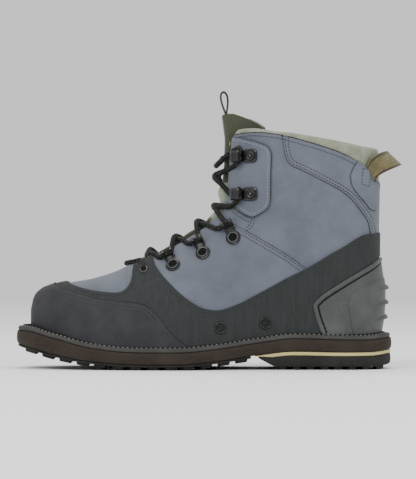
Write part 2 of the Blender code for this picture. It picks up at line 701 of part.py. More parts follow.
def outer_surface(names):
    """The outermost skin of the named pieces, to seat fittings on."""
    bm = bmesh.new()
    for name in names:
        mesh = baked(bpy.data.objects[name])
        bm.from_mesh(mesh)
        bpy.data.meshes.remove(mesh)
    tree = BVHTree.FromBMesh(bm)
    bm.free()
    return tree


def seat(surface, along, rise, side, heading):
    """A frame on the boot's skin: its X runs with the heading, its Z out of the skin."""
    height = height_at(along, rise)
    start = Vector((to_x(along), side * BALL_WIDTH, height))
    place, normal, _, _ = surface.ray_cast(start, Vector((0, -side, 0)))
    forward = Vector((heading[0], 0, heading[1]))
    forward = (forward - normal * forward.dot(normal)).normalized()
    frame = Matrix((forward, normal.cross(forward), normal)).transposed().to_4x4()
    frame.translation = place + normal * GAP
    return frame


def turned(name, profile, steps=8):
    """A profile of radius and height turned about Z, closed by itself or with its ends on the axis."""
    bm = bmesh.new()
    ring = [bm.verts.new((r, 0, z)) for r, z in profile]
    ends = [] if profile[0][0] == 0 else [(ring[-1], ring[0])]
    edges = [bm.edges.new(pair) for pair in list(zip(ring, ring[1:])) + ends]
    bmesh.ops.spin(bm, geom=ring + edges, cent=(0, 0, 0), axis=(0, 0, 1), angle=2 * math.pi, steps=steps)
    bmesh.ops.remove_doubles(bm, verts=bm.verts, dist=MERGE)
    bmesh.ops.recalc_face_normals(bm, faces=bm.faces)
    mesh = bpy.data.meshes.new(name)
    bm.to_mesh(mesh)
    bm.free()
    return mesh


def profile_bar(name, profile, width):
    """A side profile of reach and height, carried across a width."""
    x, z = np.array(profile).T
    return loft_mesh(name, np.stack([np.stack([x, 0 * x + y, z], axis=-1) for y in (-width / 2, width / 2)]))


def joined_mesh(name, meshes):
    """Meshes joined into one closed body."""
    base = put_cutter(name + "_base", meshes[0])
    for index, mesh in enumerate(meshes[1:]):
        boolean(base, put_cutter(f"{name}_{index}", mesh), "UNION")
    result = baked(base)
    result.name = name
    for helper in [c for c in cutters.objects if c.name.startswith(name)]:
        bpy.data.objects.remove(helper)
    return result


def build_fittings(surface):
    """Eyelets, lace loops, speed hooks and drain vents on both sides. Returns where the lace passes."""
    black = ((0.03, 0.03, 0.032), 0.35, 0.8)
    thick, radius = PLATE_THICKNESS, RIVET_DIAMETER / 2
    top = thick * 1.9
    rivet = turned("rivet", [(0, 0), (radius, 0), (radius, thick * 1.3), (radius * 0.7, top), (0, top)])
    strap = [(0, 0), (LOOP_REACH, 0), (LOOP_REACH, thick), (0, thick)]
    plate = profile_bar("plate", strap, PLATE_WIDTH * 0.75)
    hoop = turned("hoop", [(LOOP_RADIUS + 0.0008 * math.cos(a), 0.0008 * math.sin(a))
                           for a in np.linspace(0, 2 * math.pi, 5)[:-1]], 8)
    hoop.transform(Matrix.Translation((LOOP_REACH - 0.001, 0, thick + LOOP_RADIUS - 0.0004))
                   @ Matrix.Rotation(math.pi / 2, 4, "X"))
    loop_mesh = joined_mesh("lace_loop", [rivet, plate, hoop])

    high, reach = HOOK_HEIGHT, HOOK_REACH
    hook = profile_bar("hook", [
        (0, 0), (reach - 0.002, 0), (reach, 0.0022), (reach, high - 0.0022), (reach - 0.002, high),
        (reach - 0.0095, high + 0.0004), (reach - 0.0095, high - 0.0006), (reach - 0.0026, high - 0.0011),
        (reach - 0.0012, high - 0.0026), (reach - 0.0012, 0.0026), (reach - 0.0025, thick), (0, thick)],
        PLATE_WIDTH * 0.75)
    hook_mesh = joined_mesh("speed_hook", [turned("rivet", [
        (0, 0), (radius, 0), (radius, thick * 1.3), (radius * 0.7, thick * 1.9), (0, thick * 1.9)]), hook])

    outer, inner = EYELET_DIAMETER / 2, EYELET_DIAMETER * 0.26
    ring = [(inner, 0), (outer, 0), (outer * 0.95, 0.0007), (outer * 0.7, 0.0012), (inner, 0.0009)]
    eyelet_mesh = turned("eyelet", ring)
    vent = VENT_DIAMETER / 2
    vent_mesh = turned("drain_vent", [(0, 0), (vent, 0), (vent, 0.0007), (vent * 0.85, 0.0011),
                                      (vent * 0.7, 0.0011), (vent * 0.66, 0.0005), (0, 0.0005)])

    loop_top = LOOP_RADIUS + 0.0028
    kinds = (("eyelet", eyelet_mesh, zip(*EYELET.values()), (-0.4, 0.9), 0.0045, 0.001),
             ("lace_loop", loop_mesh, zip(*LACE_LOOPS.values()), (-0.43, 0.9), LOOP_REACH, loop_top),
             ("speed_hook", hook_mesh, zip(*HOOKS.values()), (-1.0, 0.0), HOOK_REACH, 0.009))
    passes = []
    for name, mesh, places, heading, reach_out, lace_end in kinds:
        for number, (along, rise) in enumerate(places, 1):
            for side, label in ((-1, "lateral"), (1, "medial")):
                fitting = put(f"{name}_{number}_{label}", mesh.copy(), black)
                fitting.matrix_world = seat(surface, along, rise, side, heading)
            passes.append((fitting.matrix_world @ Vector((reach_out, 0, 0)), lace_end))
    for i, (along, rise) in enumerate(zip(*VENTS.values())):
        for side, label in ((-1, "lateral"), (1, "medial")):
            fitting = put(f"drain_vent_{i + 1}_{label}", vent_mesh.copy(), black)
            fitting.matrix_world = seat(surface, along, rise, side, (1.0, 0.0))
    return passes


def rope_mesh(name, points, diameter, sides=6):
    """A round rope along points."""
    tangent = unit(np.gradient(points, axis=0))
    first = unit(np.cross(tangent, np.array([0.0, 0.3, 1.0])))
    second = np.cross(tangent, first)
    angles = np.arange(sides) * 2 * math.pi / sides
    radius = diameter / 2
    rings = np.stack([points + (first * math.cos(a) + second * math.sin(a)) * radius for a in angles], axis=1)
    return loft_mesh(name, rings)


def throat_row(place):
    """The section number where the throat's edge lies nearest a fitting."""
    rows = np.linspace(THROAT_ROW, COLLAR_ROW, 221)
    edge = upper_point(rows, np.zeros(len(rows)), 1)
    return rows[np.argmin(np.hypot(edge[:, 0] - place[0], edge[:, 2] - place[2]))]


def edge_pace(row):
    """Metres of the throat's edge to one section number, at this row."""
    ends = upper_point(np.clip([row - 0.1, row + 0.1], THROAT_ROW, COLLAR_ROW), np.zeros(2), 1)
    return np.linalg.norm(ends[1] - ends[0]) / 0.2


def over_tongue(rows, widths, stand):
    """Points over the closed last at these section numbers and signed widths, stood off it."""
    values = section_values(rows)
    angle = angle_at_width(values, np.abs(widths))
    flat = np.zeros(len(rows))
    place = skin_point(rows, angle, flat, np.sign(widths))
    along_foot = skin_point(rows + 0.05, angle, flat, np.sign(widths)) - place
    medial = np.ones(len(rows))
    around = skin_point(rows, angle + 0.02, flat, medial) - skin_point(rows, angle, flat, medial)
    around = around * np.stack([np.sign(widths), np.ones(len(rows)), np.sign(widths)], axis=-1)
    normal = unit(np.cross(along_foot, around))
    return place + normal * np.asarray(stand)[:, None]


def build_lace(passes):
    """The bar over the toe end of the throat and the crossings above it, clear of tongue and fittings."""
    cord = ((0.035, 0.037, 0.032), 0.85)
    share = np.linspace(0, 1, 7)
    bow = np.sin(math.pi * share)
    stops = [(throat_row(place), abs(place[1]) - end) for place, end in passes]
    row, width = stops[0]
    bar = over_tongue(np.full(7, row), np.linspace(-width, width, 7), LACE_STAND + 0 * bow)
    put("lace_bar", rope_mesh("lace_bar", bar, LACE_DIAMETER), cord)
    for index, ((low, low_width), (high, high_width)) in enumerate(zip(stops, stops[1:])):
        start, stop = LACE_SPACE / edge_pace(low) * (1 if index else 2), LACE_SPACE / edge_pace(high)
        ropes = []
        for side, over in ((1, 0.0), (-1, LACE_DIAMETER * 0.55)):
            rows = low + start + (high - low - start - stop) * share
            widths = side * (low_width + (-high_width - low_width) * share)
            stand = LACE_STAND + LACE_ARCH * bow * (index > 2) + over * bow ** 4
            ropes.append(rope_mesh("rope", over_tongue(rows, widths, stand), LACE_DIAMETER))
        name = f"lace_crossing_{index + 1}"
        put(name, joined_mesh(name, ropes), cord)


def build_spurs():
    """Three wedge-shaped kick ridges round the back of the counter, joined to it."""
    surface = outer_surface(["heel_counter"])
    middle = to_x(0.85)

    def on_counter(turn, z, stand):
        out = Vector((math.cos(turn), math.sin(turn), 0))
        place, normal, _, _ = surface.ray_cast(Vector((middle, 0, z)) + out * SOLE_LENGTH, -out)
        normal.z = 0
        return place + (out + normal.normalized()).normalized() * stand

    spurs = []
    for rise in SPUR_RISES:
        rings = []
        for share in np.linspace(-1, 1, 11).tolist():
            z = height_at(0.98, rise + SPUR_DROP * share ** 2)
            fade = math.cos(share * math.pi / 2 * 0.98) ** 0.7
            low, high = z - SPUR_HEIGHT * (0.2 + 0.3 * fade), z + SPUR_HEIGHT * (0.2 + 0.3 * fade)
            turn, root, proud = share * SPUR_TURN, -COUNTER_WALL * 0.5, SPUR_STAND * fade
            rings.append([on_counter(turn, high, root), on_counter(turn, low, root),
                          on_counter(turn, low, proud), on_counter(turn, low * 0.7 + high * 0.3, proud)])
        spurs.append(loft_mesh("spur", np.array(rings)))
    boolean(bpy.data.objects["heel_counter"], put_cutter("spurs", joined_mesh("spurs", spurs)), "UNION")


def main():
    for old in list(bpy.data.objects):
        bpy.data.objects.remove(old)
    for collection in (parts, cutters):
        bpy.context.scene.collection.children.link(collection)
    build_sole()
    build_upper()
    build_tongue()
    build_overlays()
    build_spurs()
    build_collar()
    build_pulls()
    surface = outer_surface(["upper", "foxing", "ankle_patch_lateral", "ankle_patch_medial"])
    build_lace(build_fittings(surface))


main()
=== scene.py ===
import json
import math

import bmesh
import bpy
import numpy as np
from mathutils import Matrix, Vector

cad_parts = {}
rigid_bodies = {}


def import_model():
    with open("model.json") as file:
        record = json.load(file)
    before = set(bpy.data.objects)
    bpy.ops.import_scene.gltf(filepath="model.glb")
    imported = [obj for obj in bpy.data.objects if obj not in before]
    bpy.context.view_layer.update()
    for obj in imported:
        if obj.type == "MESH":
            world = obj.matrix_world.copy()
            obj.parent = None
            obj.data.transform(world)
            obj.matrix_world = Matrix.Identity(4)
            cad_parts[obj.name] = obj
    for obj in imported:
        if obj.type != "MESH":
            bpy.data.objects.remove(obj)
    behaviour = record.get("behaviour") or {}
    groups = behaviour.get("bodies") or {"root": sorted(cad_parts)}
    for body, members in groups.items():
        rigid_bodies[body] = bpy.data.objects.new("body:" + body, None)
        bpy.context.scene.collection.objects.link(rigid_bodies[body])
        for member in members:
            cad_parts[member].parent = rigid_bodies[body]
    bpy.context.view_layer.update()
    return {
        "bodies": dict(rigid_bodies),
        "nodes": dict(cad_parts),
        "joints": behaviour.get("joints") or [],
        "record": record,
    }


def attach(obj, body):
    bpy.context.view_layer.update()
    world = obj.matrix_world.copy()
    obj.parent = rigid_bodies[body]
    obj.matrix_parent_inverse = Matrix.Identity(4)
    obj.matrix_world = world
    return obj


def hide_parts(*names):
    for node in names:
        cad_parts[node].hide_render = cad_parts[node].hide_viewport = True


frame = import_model()

# Camera
# The boot is seen square on its lateral side, level with the middle of its height and from well back,
# so that the layers of the sole run as level bands and the welt's top hardly shows.
VIEW_CENTRE, VIEW_DISTANCE, VIEW_HEIGHT = (-0.1004, -0.018, 0.1098), 2.8, 0.4076
camera = bpy.data.objects.new("camera", bpy.data.cameras.new("camera"))
bpy.context.scene.collection.objects.link(camera)
bpy.context.scene.camera = camera
camera.location = (VIEW_CENTRE[0], VIEW_CENTRE[1] - VIEW_DISTANCE, VIEW_CENTRE[2])
camera.rotation_euler = (math.pi / 2, 0, 0)
camera.data.sensor_fit = "VERTICAL"
camera.data.sensor_height = 24
camera.data.lens = 24 * VIEW_DISTANCE / VIEW_HEIGHT

# Midsole
# A thick slab of brown moulded rubber with the sole's whole outline, toe spring and raised heel. Its
# edge is trimmed by a buffing wheel, which leaves fine level lines, and it is cemented under the welt.
SOLE_LENGTH, BALL_WIDTH, HEEL_WIDTH, HEEL_TREAD_AT = 0.320, 0.118, 0.086, 0.825
TOE_SPRING, HEEL_LIFT, TOE_OFFSET, TOE_BUMPER = 0.0167, 0.0108, 0.010, 0.0038
OUTSOLE_THICKNESS, LUG_HEIGHT, MIDSOLE_THICKNESS, WELT_THICKNESS = 0.0045, 0.0024, 0.0098, 0.0038
TOE_ROUND, HEEL_ROUND, GAP = 0.19, 0.125, 0.0003


def table(names, *rows):
    """Rows of shares as named columns."""
    return dict(zip(names.split(), np.array(rows, float).T))


SOLE = table("along toe_rise heel_rise bumper width_ball width_heel centre", (0, 1, 0, 0.35, 0.82, 0, 1),
             (0.05, 0.76, 0, 0.95, 0.84, 0, 0.98), (0.1, 0.5, 0, 0.92, 0.87, 0, 0.9),
             (0.2, 0.16, 0, 0.3, 0.94, 0, 0.62), (0.3, 0.02, 0, 0, 0.99, 0, 0.22),
             (0.34, 0, 0, 0, 1, 0, 0.08), (0.43, 0, 0, 0, 0.98, 0, -0.1), (0.53, 0, 0.24, 0, 0.86, 0, -0.2),
             (0.64, 0, 0.7, 0.06, 0.3, 0.62, -0.12), (0.74, 0, 1, 0.2, 0, 0.98, 0),
             (0.87, 0, 0.94, 0.1, 0, 1, 0), (0.94, 0, 0.96, 0, 0, 1, 0), (1, 0, 1.15, 0, 0, 1, 0))


def shape(columns, key, name, at):
    """A smooth curve through a table's rows: cubic between them, with slopes that never overshoot."""
    knots, values = columns[key], columns[name]
    steps = np.diff(knots)
    slopes = np.diff(values) / steps
    product = slopes[:-1] * slopes[1:]
    inner = np.where(product > 0, 2 * product / np.where(product > 0, slopes[:-1] + slopes[1:], 1), 0)
    tangents = np.concatenate([slopes[:1], inner, slopes[-1:]])
    at = np.clip(at, knots[0], knots[-1])
    cell = np.clip(np.searchsorted(knots, at, side="right") - 1, 0, len(steps) - 1)
    t = (at - knots[cell]) / steps[cell]
    return ((1 + 2 * t) * (1 - t) ** 2 * values[cell] + t * t * (3 - 2 * t) * values[cell + 1]
            + steps[cell] * t * (1 - t) * ((1 - t) * tangents[cell] - t * tangents[cell + 1]))


def to_x(along):
    return (along - HEEL_TREAD_AT) * SOLE_LENGTH


def to_along(x):
    return x / SOLE_LENGTH + HEEL_TREAD_AT


def unit_height(along):
    """Height of the midsole's underside: the tread, the toe's spring and the heel's lift added up."""
    return (OUTSOLE_THICKNESS + TOE_SPRING * shape(SOLE, "along", "toe_rise", along)
            + HEEL_LIFT * shape(SOLE, "along", "heel_rise", along))


def welt_top(along):
    bumper = TOE_BUMPER * shape(SOLE, "along", "bumper", along)
    return unit_height(along) + MIDSOLE_THICKNESS + bumper + WELT_THICKNESS


def rounding(share, fullness=2.2):
    """Half-width near a rounded end: a superellipse from 0 at its tip to 1 where the round ends."""
    share = np.clip(share, 0.0, 1.0)
    return (1 - (1 - share) ** fullness) ** (1 / fullness)


def plan_half_width(along):
    return (BALL_WIDTH * shape(SOLE, "along", "width_ball", along)
            + HEEL_WIDTH * shape(SOLE, "along", "width_heel", along)) / 2


def centre_line(along):
    return TOE_OFFSET * shape(SOLE, "along", "centre", along)


def sole_half_width(along, ledge):
    """Half-width of the sole's outline, rounded at both ends and drawn in by a ledge all round."""
    inset = ledge / SOLE_LENGTH
    return ((plan_half_width(along) - ledge) * rounding((along - inset) / TOE_ROUND)
            * rounding((1 - inset - along) / HEEL_ROUND))


def end_spaced(count, first=0.0, last=1.0):
    """Shares from first to last, closer together towards both ends."""
    return first + (last - first) * (1 - np.cos(np.linspace(0, math.pi, count))) / 2


def grid_mesh(name, points, wrap=True, close=True, attributes=()):
    """A mesh of point grids, shape (..., rows, columns, 3): each point is joined to its neighbours in the
    next row and column, and with wrap the last column to the first. Points that coincide are merged."""
    rows, columns = points.shape[-3:-1]
    flat = points.reshape(-1, 3)
    block = np.arange(len(flat)).reshape(-1, rows, columns)
    right = np.roll(block, -1, axis=2) if wrap else block[:, :, 1:]
    left = block if wrap else block[:, :, :-1]
    quads = np.stack([left[:, :-1], right[:, :-1], right[:, 1:], left[:, 1:]], axis=-1).reshape(-1, 4)
    mesh = bpy.data.meshes.new(name)
    mesh.from_pydata(flat.tolist(), [], quads.tolist())
    for label, values in attributes:
        column = mesh.attributes.new(label, "FLOAT", "POINT")
        column.data.foreach_set("value", np.ravel(values).astype(np.float32))
    bm = bmesh.new()
    bm.from_mesh(mesh)
    bmesh.ops.remove_doubles(bm, verts=bm.verts, dist=0.000004)
    bmesh.ops.dissolve_degenerate(bm, edges=bm.edges, dist=0.000001)
    if close:
        bmesh.ops.recalc_face_normals(bm, faces=bm.faces)
    bm.to_mesh(mesh)
    bm.free()
    return mesh


def place(mesh, finish, nodes=()):
    """A finished piece of the boot, which stands for the named solids of the frame or for none."""
    thing = bpy.data.objects.new(mesh.name, mesh)
    bpy.context.scene.collection.objects.link(thing)
    mesh.materials.append(finish)
    mesh.polygons.foreach_set("use_smooth", np.full(len(mesh.polygons), True))
    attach(thing, "root")
    if nodes:
        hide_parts(*nodes)
    return thing


def piece(name, points, finish, nodes=(), attributes=()):
    """A closed piece made from grids of points."""
    return place(grid_mesh(name, points, attributes=attributes), finish, nodes)


def sole_slab(along, top, bottom, inset, edge):
    """Points of a slab with the sole's outline. One parameter runs from toe to heel. The other runs round
    the slab: out along its underside, up its edge by steps of (share of height, distance drawn in), and
    back in along its top, then the same on the other side. Both ends close on the middle line."""
    edge = np.array(edge)
    across = np.concatenate([[0, 0.35, 0.7, 0.93], np.ones(len(edge)), [0.93, 0.7, 0.35, 0]])
    level = np.concatenate([np.zeros(4), edge[:, 0], np.ones(4)])
    drawn = inset + np.concatenate([np.full(4, edge[0, 1]), edge[:, 1], np.full(4, edge[-1, 1])])
    across, level, drawn = (np.concatenate([across, -across[::-1]]), np.concatenate([level, level[::-1]]),
                            np.concatenate([drawn, drawn[::-1]]))
    along = np.concatenate([along[:1], along, along[-1:]])
    closing = np.ones(len(along))
    closing[[0, -1]] = 0
    margin = drawn / SOLE_LENGTH
    at = margin + along[:, None] * (1 - 2 * margin)
    y = centre_line(at) + np.maximum(sole_half_width(at, drawn), 0) * across * closing[:, None]
    z = bottom(at) + (top(at) - bottom(at)) * level
    return np.stack([to_x(at), y, z], axis=-1)


def srgb(red, green, blue):
    """A colour seen in daylight as 0 to 255, in the shader's linear light."""
    share = np.array([red, green, blue]) / 255
    return (*np.where(share <= 0.04045, share / 12.92, ((share + 0.055) / 1.055) ** 2.4).tolist(), 1.0)


def fill(finish, node, inputs):
    """Sets inputs of a shader node: another node's output is linked, and anything else is a plain value."""
    for name, given in inputs.items():
        if isinstance(given, bpy.types.NodeSocket):
            finish.node_tree.links.new(given, node.inputs[name])
        else:
            node.inputs[name].default_value = given


def texture(finish, kind, output, inputs, **settings):
    """One output of a new shader node with these settings and inputs."""
    node = finish.node_tree.nodes.new("ShaderNode" + kind)
    for name, value in settings.items():
        setattr(node, name, value)
    fill(finish, node, inputs)
    return node.outputs[output]


def blank_finish(name):
    """A new finish, and the boot's own coordinates."""
    finish = bpy.data.materials.new(name)
    finish.use_nodes = True
    return finish, texture(finish, "TexCoord", "Object", {})


def finished(finish, colour, normal, roughness, sheen=0.0, sheen_roughness=0.5, coat=0.0, metallic=0.0):
    """The finish with its colour, its bump and its gloss."""
    fill(finish, finish.node_tree.nodes["Principled BSDF"], {
        "Base Color": colour, "Normal": normal, "Roughness": roughness, "Specular IOR Level": 0.2,
        "Sheen Weight": sheen, "Sheen Roughness": sheen_roughness, "Coat Weight": coat,
        "Coat Roughness": 0.2, "Metallic": metallic})
    return finish


def stretched(finish, coordinates, scale):
    """The boot's coordinates stretched by a scale for each axis."""
    return texture(finish, "Mapping", "Vector", {"Scale": scale, "Vector": coordinates})


def grain(finish, coordinates, size, detail=4.0, rough=0.6):
    """Soft random grain whose grains are about this many metres across."""
    return texture(finish, "TexNoise", "Fac",
                   {"Scale": 1 / size, "Detail": detail, "Roughness": rough, "Vector": coordinates})


def between(finish, value, low, high, start=0.3, stop=0.7):
    """A colour ramp driven by a value, from one daylight colour to another."""
    ramp = finish.node_tree.nodes.new("ShaderNodeValToRGB")
    for element, position, colour in zip(ramp.color_ramp.elements, (start, stop), (low, high)):
        element.position, element.color = position, srgb(*colour)
    fill(finish, ramp, {"Fac": value})
    return ramp.outputs["Color"]


def blended(finish, how, share, first, second):
    """Two colours mixed; the share may be a number or a value from the texture."""
    return texture(finish, "Mix", 2, {0: share, 6: first, 7: second}, data_type="RGBA", blend_type=how)


def raised(finish, value, depth, under=None):
    """A bump of this many metres where the value is high, on top of another where one is given."""
    inputs = {"Distance": depth, "Strength": 1.0, "Height": value}
    return texture(finish, "Bump", "Normal", {**inputs, "Normal": under} if under else inputs)


def moulded_rubber(name, dark, light, roughness, grain_size, depth, stretch=(1, 1, 1)):
    """Rubber with a fine moulded grain, a little lighter where dust has settled in broad patches."""
    finish, here = blank_finish(name)
    fine = grain(finish, stretched(finish, here, stretch), grain_size)
    broad = between(finish, grain(finish, here, 0.022, 3.0), (0, 0, 0), (255, 255, 255), 0.42, 0.66)
    colour = blended(finish, "MIX", broad, between(finish, fine, dark, light), srgb(*light))
    return finished(finish, colour, raised(finish, fine, depth), roughness)


def midsole_top(along):
    return welt_top(along) - WELT_THICKNESS


midsole_edge = [(0, 0.0010), (0.015, 0.0005), (0.05, 0.0001), (0.12, -0.0002), (0.3, -0.0005),
                (0.5, -0.0006), (0.7, -0.0005), (0.88, -0.0002), (0.95, 0.0001), (0.985, 0.0005), (1, 0.0010)]
piece("sole_midsole", sole_slab(end_spaced(240), midsole_top, unit_height, 0.0, midsole_edge),
      moulded_rubber("midsole_brown_rubber", (36, 30, 26), (50, 43, 37), 0.78, 0.0016, 0.00012,
                     (0.25, 0.25, 2.2)), ["midsole"])

# Outsole and heel
# The treads are black moulded rubber: a thin forefoot sheet that ends at the arch and a heel block with
# a sloped front. Blocks about 2.4 mm deep stand on both in rows, with their edges rounded by the mould.
TREAD_COLUMNS, HEEL_COLUMNS, FRONT_ROWS, HEEL_ROWS, GROOVE = 4, 3, 13, 8, 0.0042
FRONT_END, BREAST_TOP, BREAST_FOOT, WEDGE_TIP, WEDGE_THICKNESS = 0.625, 0.646, 0.688, 0.630, 0.0030
tread_edge = [(0, 0.0009), (0.1, 0.0003), (0.35, 0.0), (0.65, 0.0), (0.9, 0.0003), (1, 0.0008)]
tread_rubber = moulded_rubber("tread_black_rubber", (26, 26, 25), (42, 42, 40), 0.85, 0.0009, 0.00008)


def wedge_fade(along):
    return np.clip((along - WEDGE_TIP) / 0.05, 0, 1)


def heel_top(along):
    return unit_height(along) - 2 * GAP - WEDGE_THICKNESS * wedge_fade(along)


def heel_bottom(along):
    """The heel's flat underside, lifted a little at its very back and sloping up at its front."""
    breast = np.clip((BREAST_FOOT - along) / (BREAST_FOOT - BREAST_TOP), 0, 1)
    lift = LUG_HEIGHT * np.clip((along - 0.95) / 0.05, 0, 1) ** 2
    return (LUG_HEIGHT + lift) * (1 - breast) + (heel_top(along) - 0.0012) * breast


def under_midsole(along):
    return unit_height(along) - GAP


def front_bottom(along):
    return unit_height(along) - (OUTSOLE_THICKNESS - LUG_HEIGHT)


def tread_blocks(first, last, rows, columns, under):
    """Rounded blocks in rows. A block is a rounded square (a superellipse) in shares of its cell, drawn
    smaller towards its foot by a moulding slope, and the cell bends with the sole's outline."""
    turn = np.linspace(0, 2 * math.pi, 25)[:-1]
    u = np.sign(np.cos(turn)) * np.abs(np.cos(turn)) ** 0.4
    v = np.sign(np.sin(turn)) * np.abs(np.sin(turn)) ** 0.4
    size = np.array([0, 1.03, 1.0, 0.97, 0.94, 0.88, 0.0])
    sunk = np.array([-0.15, -0.15, 0.1, 0.7, 0.92, 1.0, 1.0]) * LUG_HEIGHT
    step = (last - first) / rows
    middle = first + (np.arange(rows) + 0.5) * step
    beside = (np.arange(columns) + 0.5) * 2 / columns - 1
    reach, wide = step / 2 - GROOVE / 2 / SOLE_LENGTH, 1 / columns - GROOVE / 2 / 0.05
    at, share = np.broadcast_arrays(middle[:, None, None, None] + reach * u * size[:, None],
                                    beside[None, :, None, None] + wide * v * size[:, None])
    y = centre_line(at) + np.maximum(sole_half_width(at, 0.0006), 0.004) * share
    return np.stack([to_x(at), y, under(at) - sunk[:, None]], axis=-1)


piece("sole_front_tread", sole_slab(end_spaced(170, 0.001, FRONT_END), under_midsole, front_bottom, 0.0006,
                                    tread_edge), tread_rubber, ["outsole"])
piece("sole_front_tread_blocks", tread_blocks(0.018, 0.622, FRONT_ROWS, TREAD_COLUMNS, front_bottom),
      tread_rubber)
piece("sole_heel_block", sole_slab(end_spaced(120, BREAST_TOP, 1.0), heel_top, heel_bottom, 0.0002,
                                   tread_edge), tread_rubber, ["heel_block"])
piece("sole_heel_tread_blocks", tread_blocks(0.690, 0.984, HEEL_ROWS, HEEL_COLUMNS, heel_bottom),
      tread_rubber)

# Heel wedge
# A tan strip of dense foam between midsole and heel block, 3 mm thick, skived to a point at the arch.
# It is die cut, so its edge shows fine closed cells.


def wedge_bottom(along):
    return under_midsole(along) - WEDGE_THICKNESS * wedge_fade(along)


piece("sole_heel_wedge", sole_slab(end_spaced(140, 0.636, 1.0), under_midsole, wedge_bottom, 0.0003,
                                   tread_edge),
      moulded_rubber("wedge_tan_foam", (172, 160, 108), (196, 184, 130), 0.85, 0.0007, 0.00006),
      ["heel_wedge"])

# Welt
# A grey rubber strip that goes all round, 3.8 mm thick, and stands 7 mm out from the upper. A row of
# thick waxed thread runs in a channel on its top and holds it to the midsole.
WELT_INSET, SIDE_LEDGE, STITCH_LINE = 0.0008, 0.0070, 0.0034
welt_edge = [(0, 0.0006), (0.08, 0.0002), (0.25, 0.0), (0.6, 0.0), (0.85, 0.0003), (0.97, 0.0008),
             (1, 0.0014)]


def welt_bottom(along):
    return welt_top(along) - WELT_THICKNESS + GAP


piece("sole_welt", sole_slab(end_spaced(240), welt_top, welt_bottom, WELT_INSET, welt_edge),
      moulded_rubber("welt_grey_rubber", (46, 47, 45), (66, 66, 64), 0.75, 0.0008, 0.00007),
      ["welt"])


def unit(vectors):
    return vectors / np.maximum(np.linalg.norm(vectors, axis=-1, keepdims=True), 1e-12)


def run_along(path):
    """How far along a path each of its points lies."""
    return np.concatenate([[0], np.cumsum(np.linalg.norm(np.diff(path, axis=0), axis=1))])


def read_off(values, run, at):
    """Values along a path, read off at these distances."""
    return np.stack([np.interp(at, run, values[:, k]) for k in range(3)], axis=-1)


def stitches(path, outward, pitch, length, thread):
    """Points of a row of stitches at equal steps along a path. Each is a lens turned about the path, and
    its two ends dip into the leather. outward holds directions out of the leather at the path's points."""
    run = run_along(path)
    middle = np.arange(pitch / 2, run[-1], pitch)
    at, out = read_off(path, run, middle), unit(read_off(outward, run, middle))
    forward = unit(read_off(path, run, middle + pitch / 4) - read_off(path, run, middle - pitch / 4))
    beside = np.cross(out, forward)
    slide = np.array([-1, -0.85, -0.4, 0.4, 0.85, 1]) * length / 2
    swell = np.array([0, 0.7, 1, 1, 0.7, 0]) * thread / 2
    drop = np.array([0.9, 0.45, 0, 0, 0.45, 0.9]) * thread / 2
    turn = np.linspace(0, 2 * math.pi, 7)[:-1]
    rise = swell[:, None] * np.sin(turn) + thread / 4 - drop[:, None]
    return (at[:, None, None] + forward[:, None, None] * slide[:, None, None]
            + beside[:, None, None] * (swell[:, None] * np.cos(turn))[..., None]
            + out[:, None, None] * rise[..., None])


def closed_ends(grid, path):
    """A grid with one more ring at each end, all of it in the first or last point of a path."""
    first, last = (np.broadcast_to(path[k], (1, *grid.shape[1:])) for k in (0, -1))
    return np.concatenate([first, grid, last])


def carried(path, outward, width, height, around=8):
    """An oval carried along a path, width across and height along outward, closed at both ends."""
    forward = unit(np.gradient(path, axis=0))
    out = unit(outward - forward * (outward * forward).sum(axis=-1, keepdims=True))
    turn = np.linspace(0, 2 * math.pi, around + 1)[:-1, None]
    return closed_ends(path[:, None] + np.cross(out, forward)[:, None] * np.cos(turn) * width / 2
                       + out[:, None] * np.sin(turn) * height / 2, path)


def waxed_thread(name, dark, light):
    """Twisted thread: a light and a dark side with a fibrous grain."""
    finish, here = blank_finish(name)
    fibre = grain(finish, here, 0.0005)
    return finished(finish, between(finish, fibre, dark, light), raised(finish, fibre, 0.00005), 0.6, 0.2)


def sole_line(ledge, stand):
    """A line round the whole sole on the welt's top, drawn in by a ledge."""
    share = end_spaced(400)
    margin = ledge / SOLE_LENGTH
    at = margin + np.concatenate([share, share[::-1]]) * (1 - 2 * margin)
    y = centre_line(at) + np.repeat([-1.0, 1.0], 400) * sole_half_width(at, ledge)
    return np.stack([to_x(at), y, welt_top(at) + stand], axis=-1)


upward = np.tile([0.0, 0.0, 1.0], (800, 1))
seam_line = sole_line(WELT_INSET + STITCH_LINE, 0.0)
piece("sole_welt_stitches", stitches(seam_line, upward, 0.0040, 0.0027, 0.0010),
      waxed_thread("welt_pale_thread", (96, 94, 86), (152, 149, 138)))
# Painted shade: near-black rubber for the channel under the welt's stitches and the corner where upper meets
# welt.
painted_shade_rubber = moulded_rubber("painted_shade_dark_rubber", (8, 8, 9), (16, 16, 17), 0.7, 0.0008, 0.00005)
piece("sole_welt_channel_painted_shade", carried(seam_line, upward, 0.0016, 0.0007), painted_shade_rubber)
# The bead along the join also closes the feather gap; its near-black is painted shade.
piece("sole_join_bead_painted_shade", carried(sole_line(SIDE_LEDGE - 0.0006, 0.0006), upward, 0.0034, 0.0022), painted_shade_rubber)

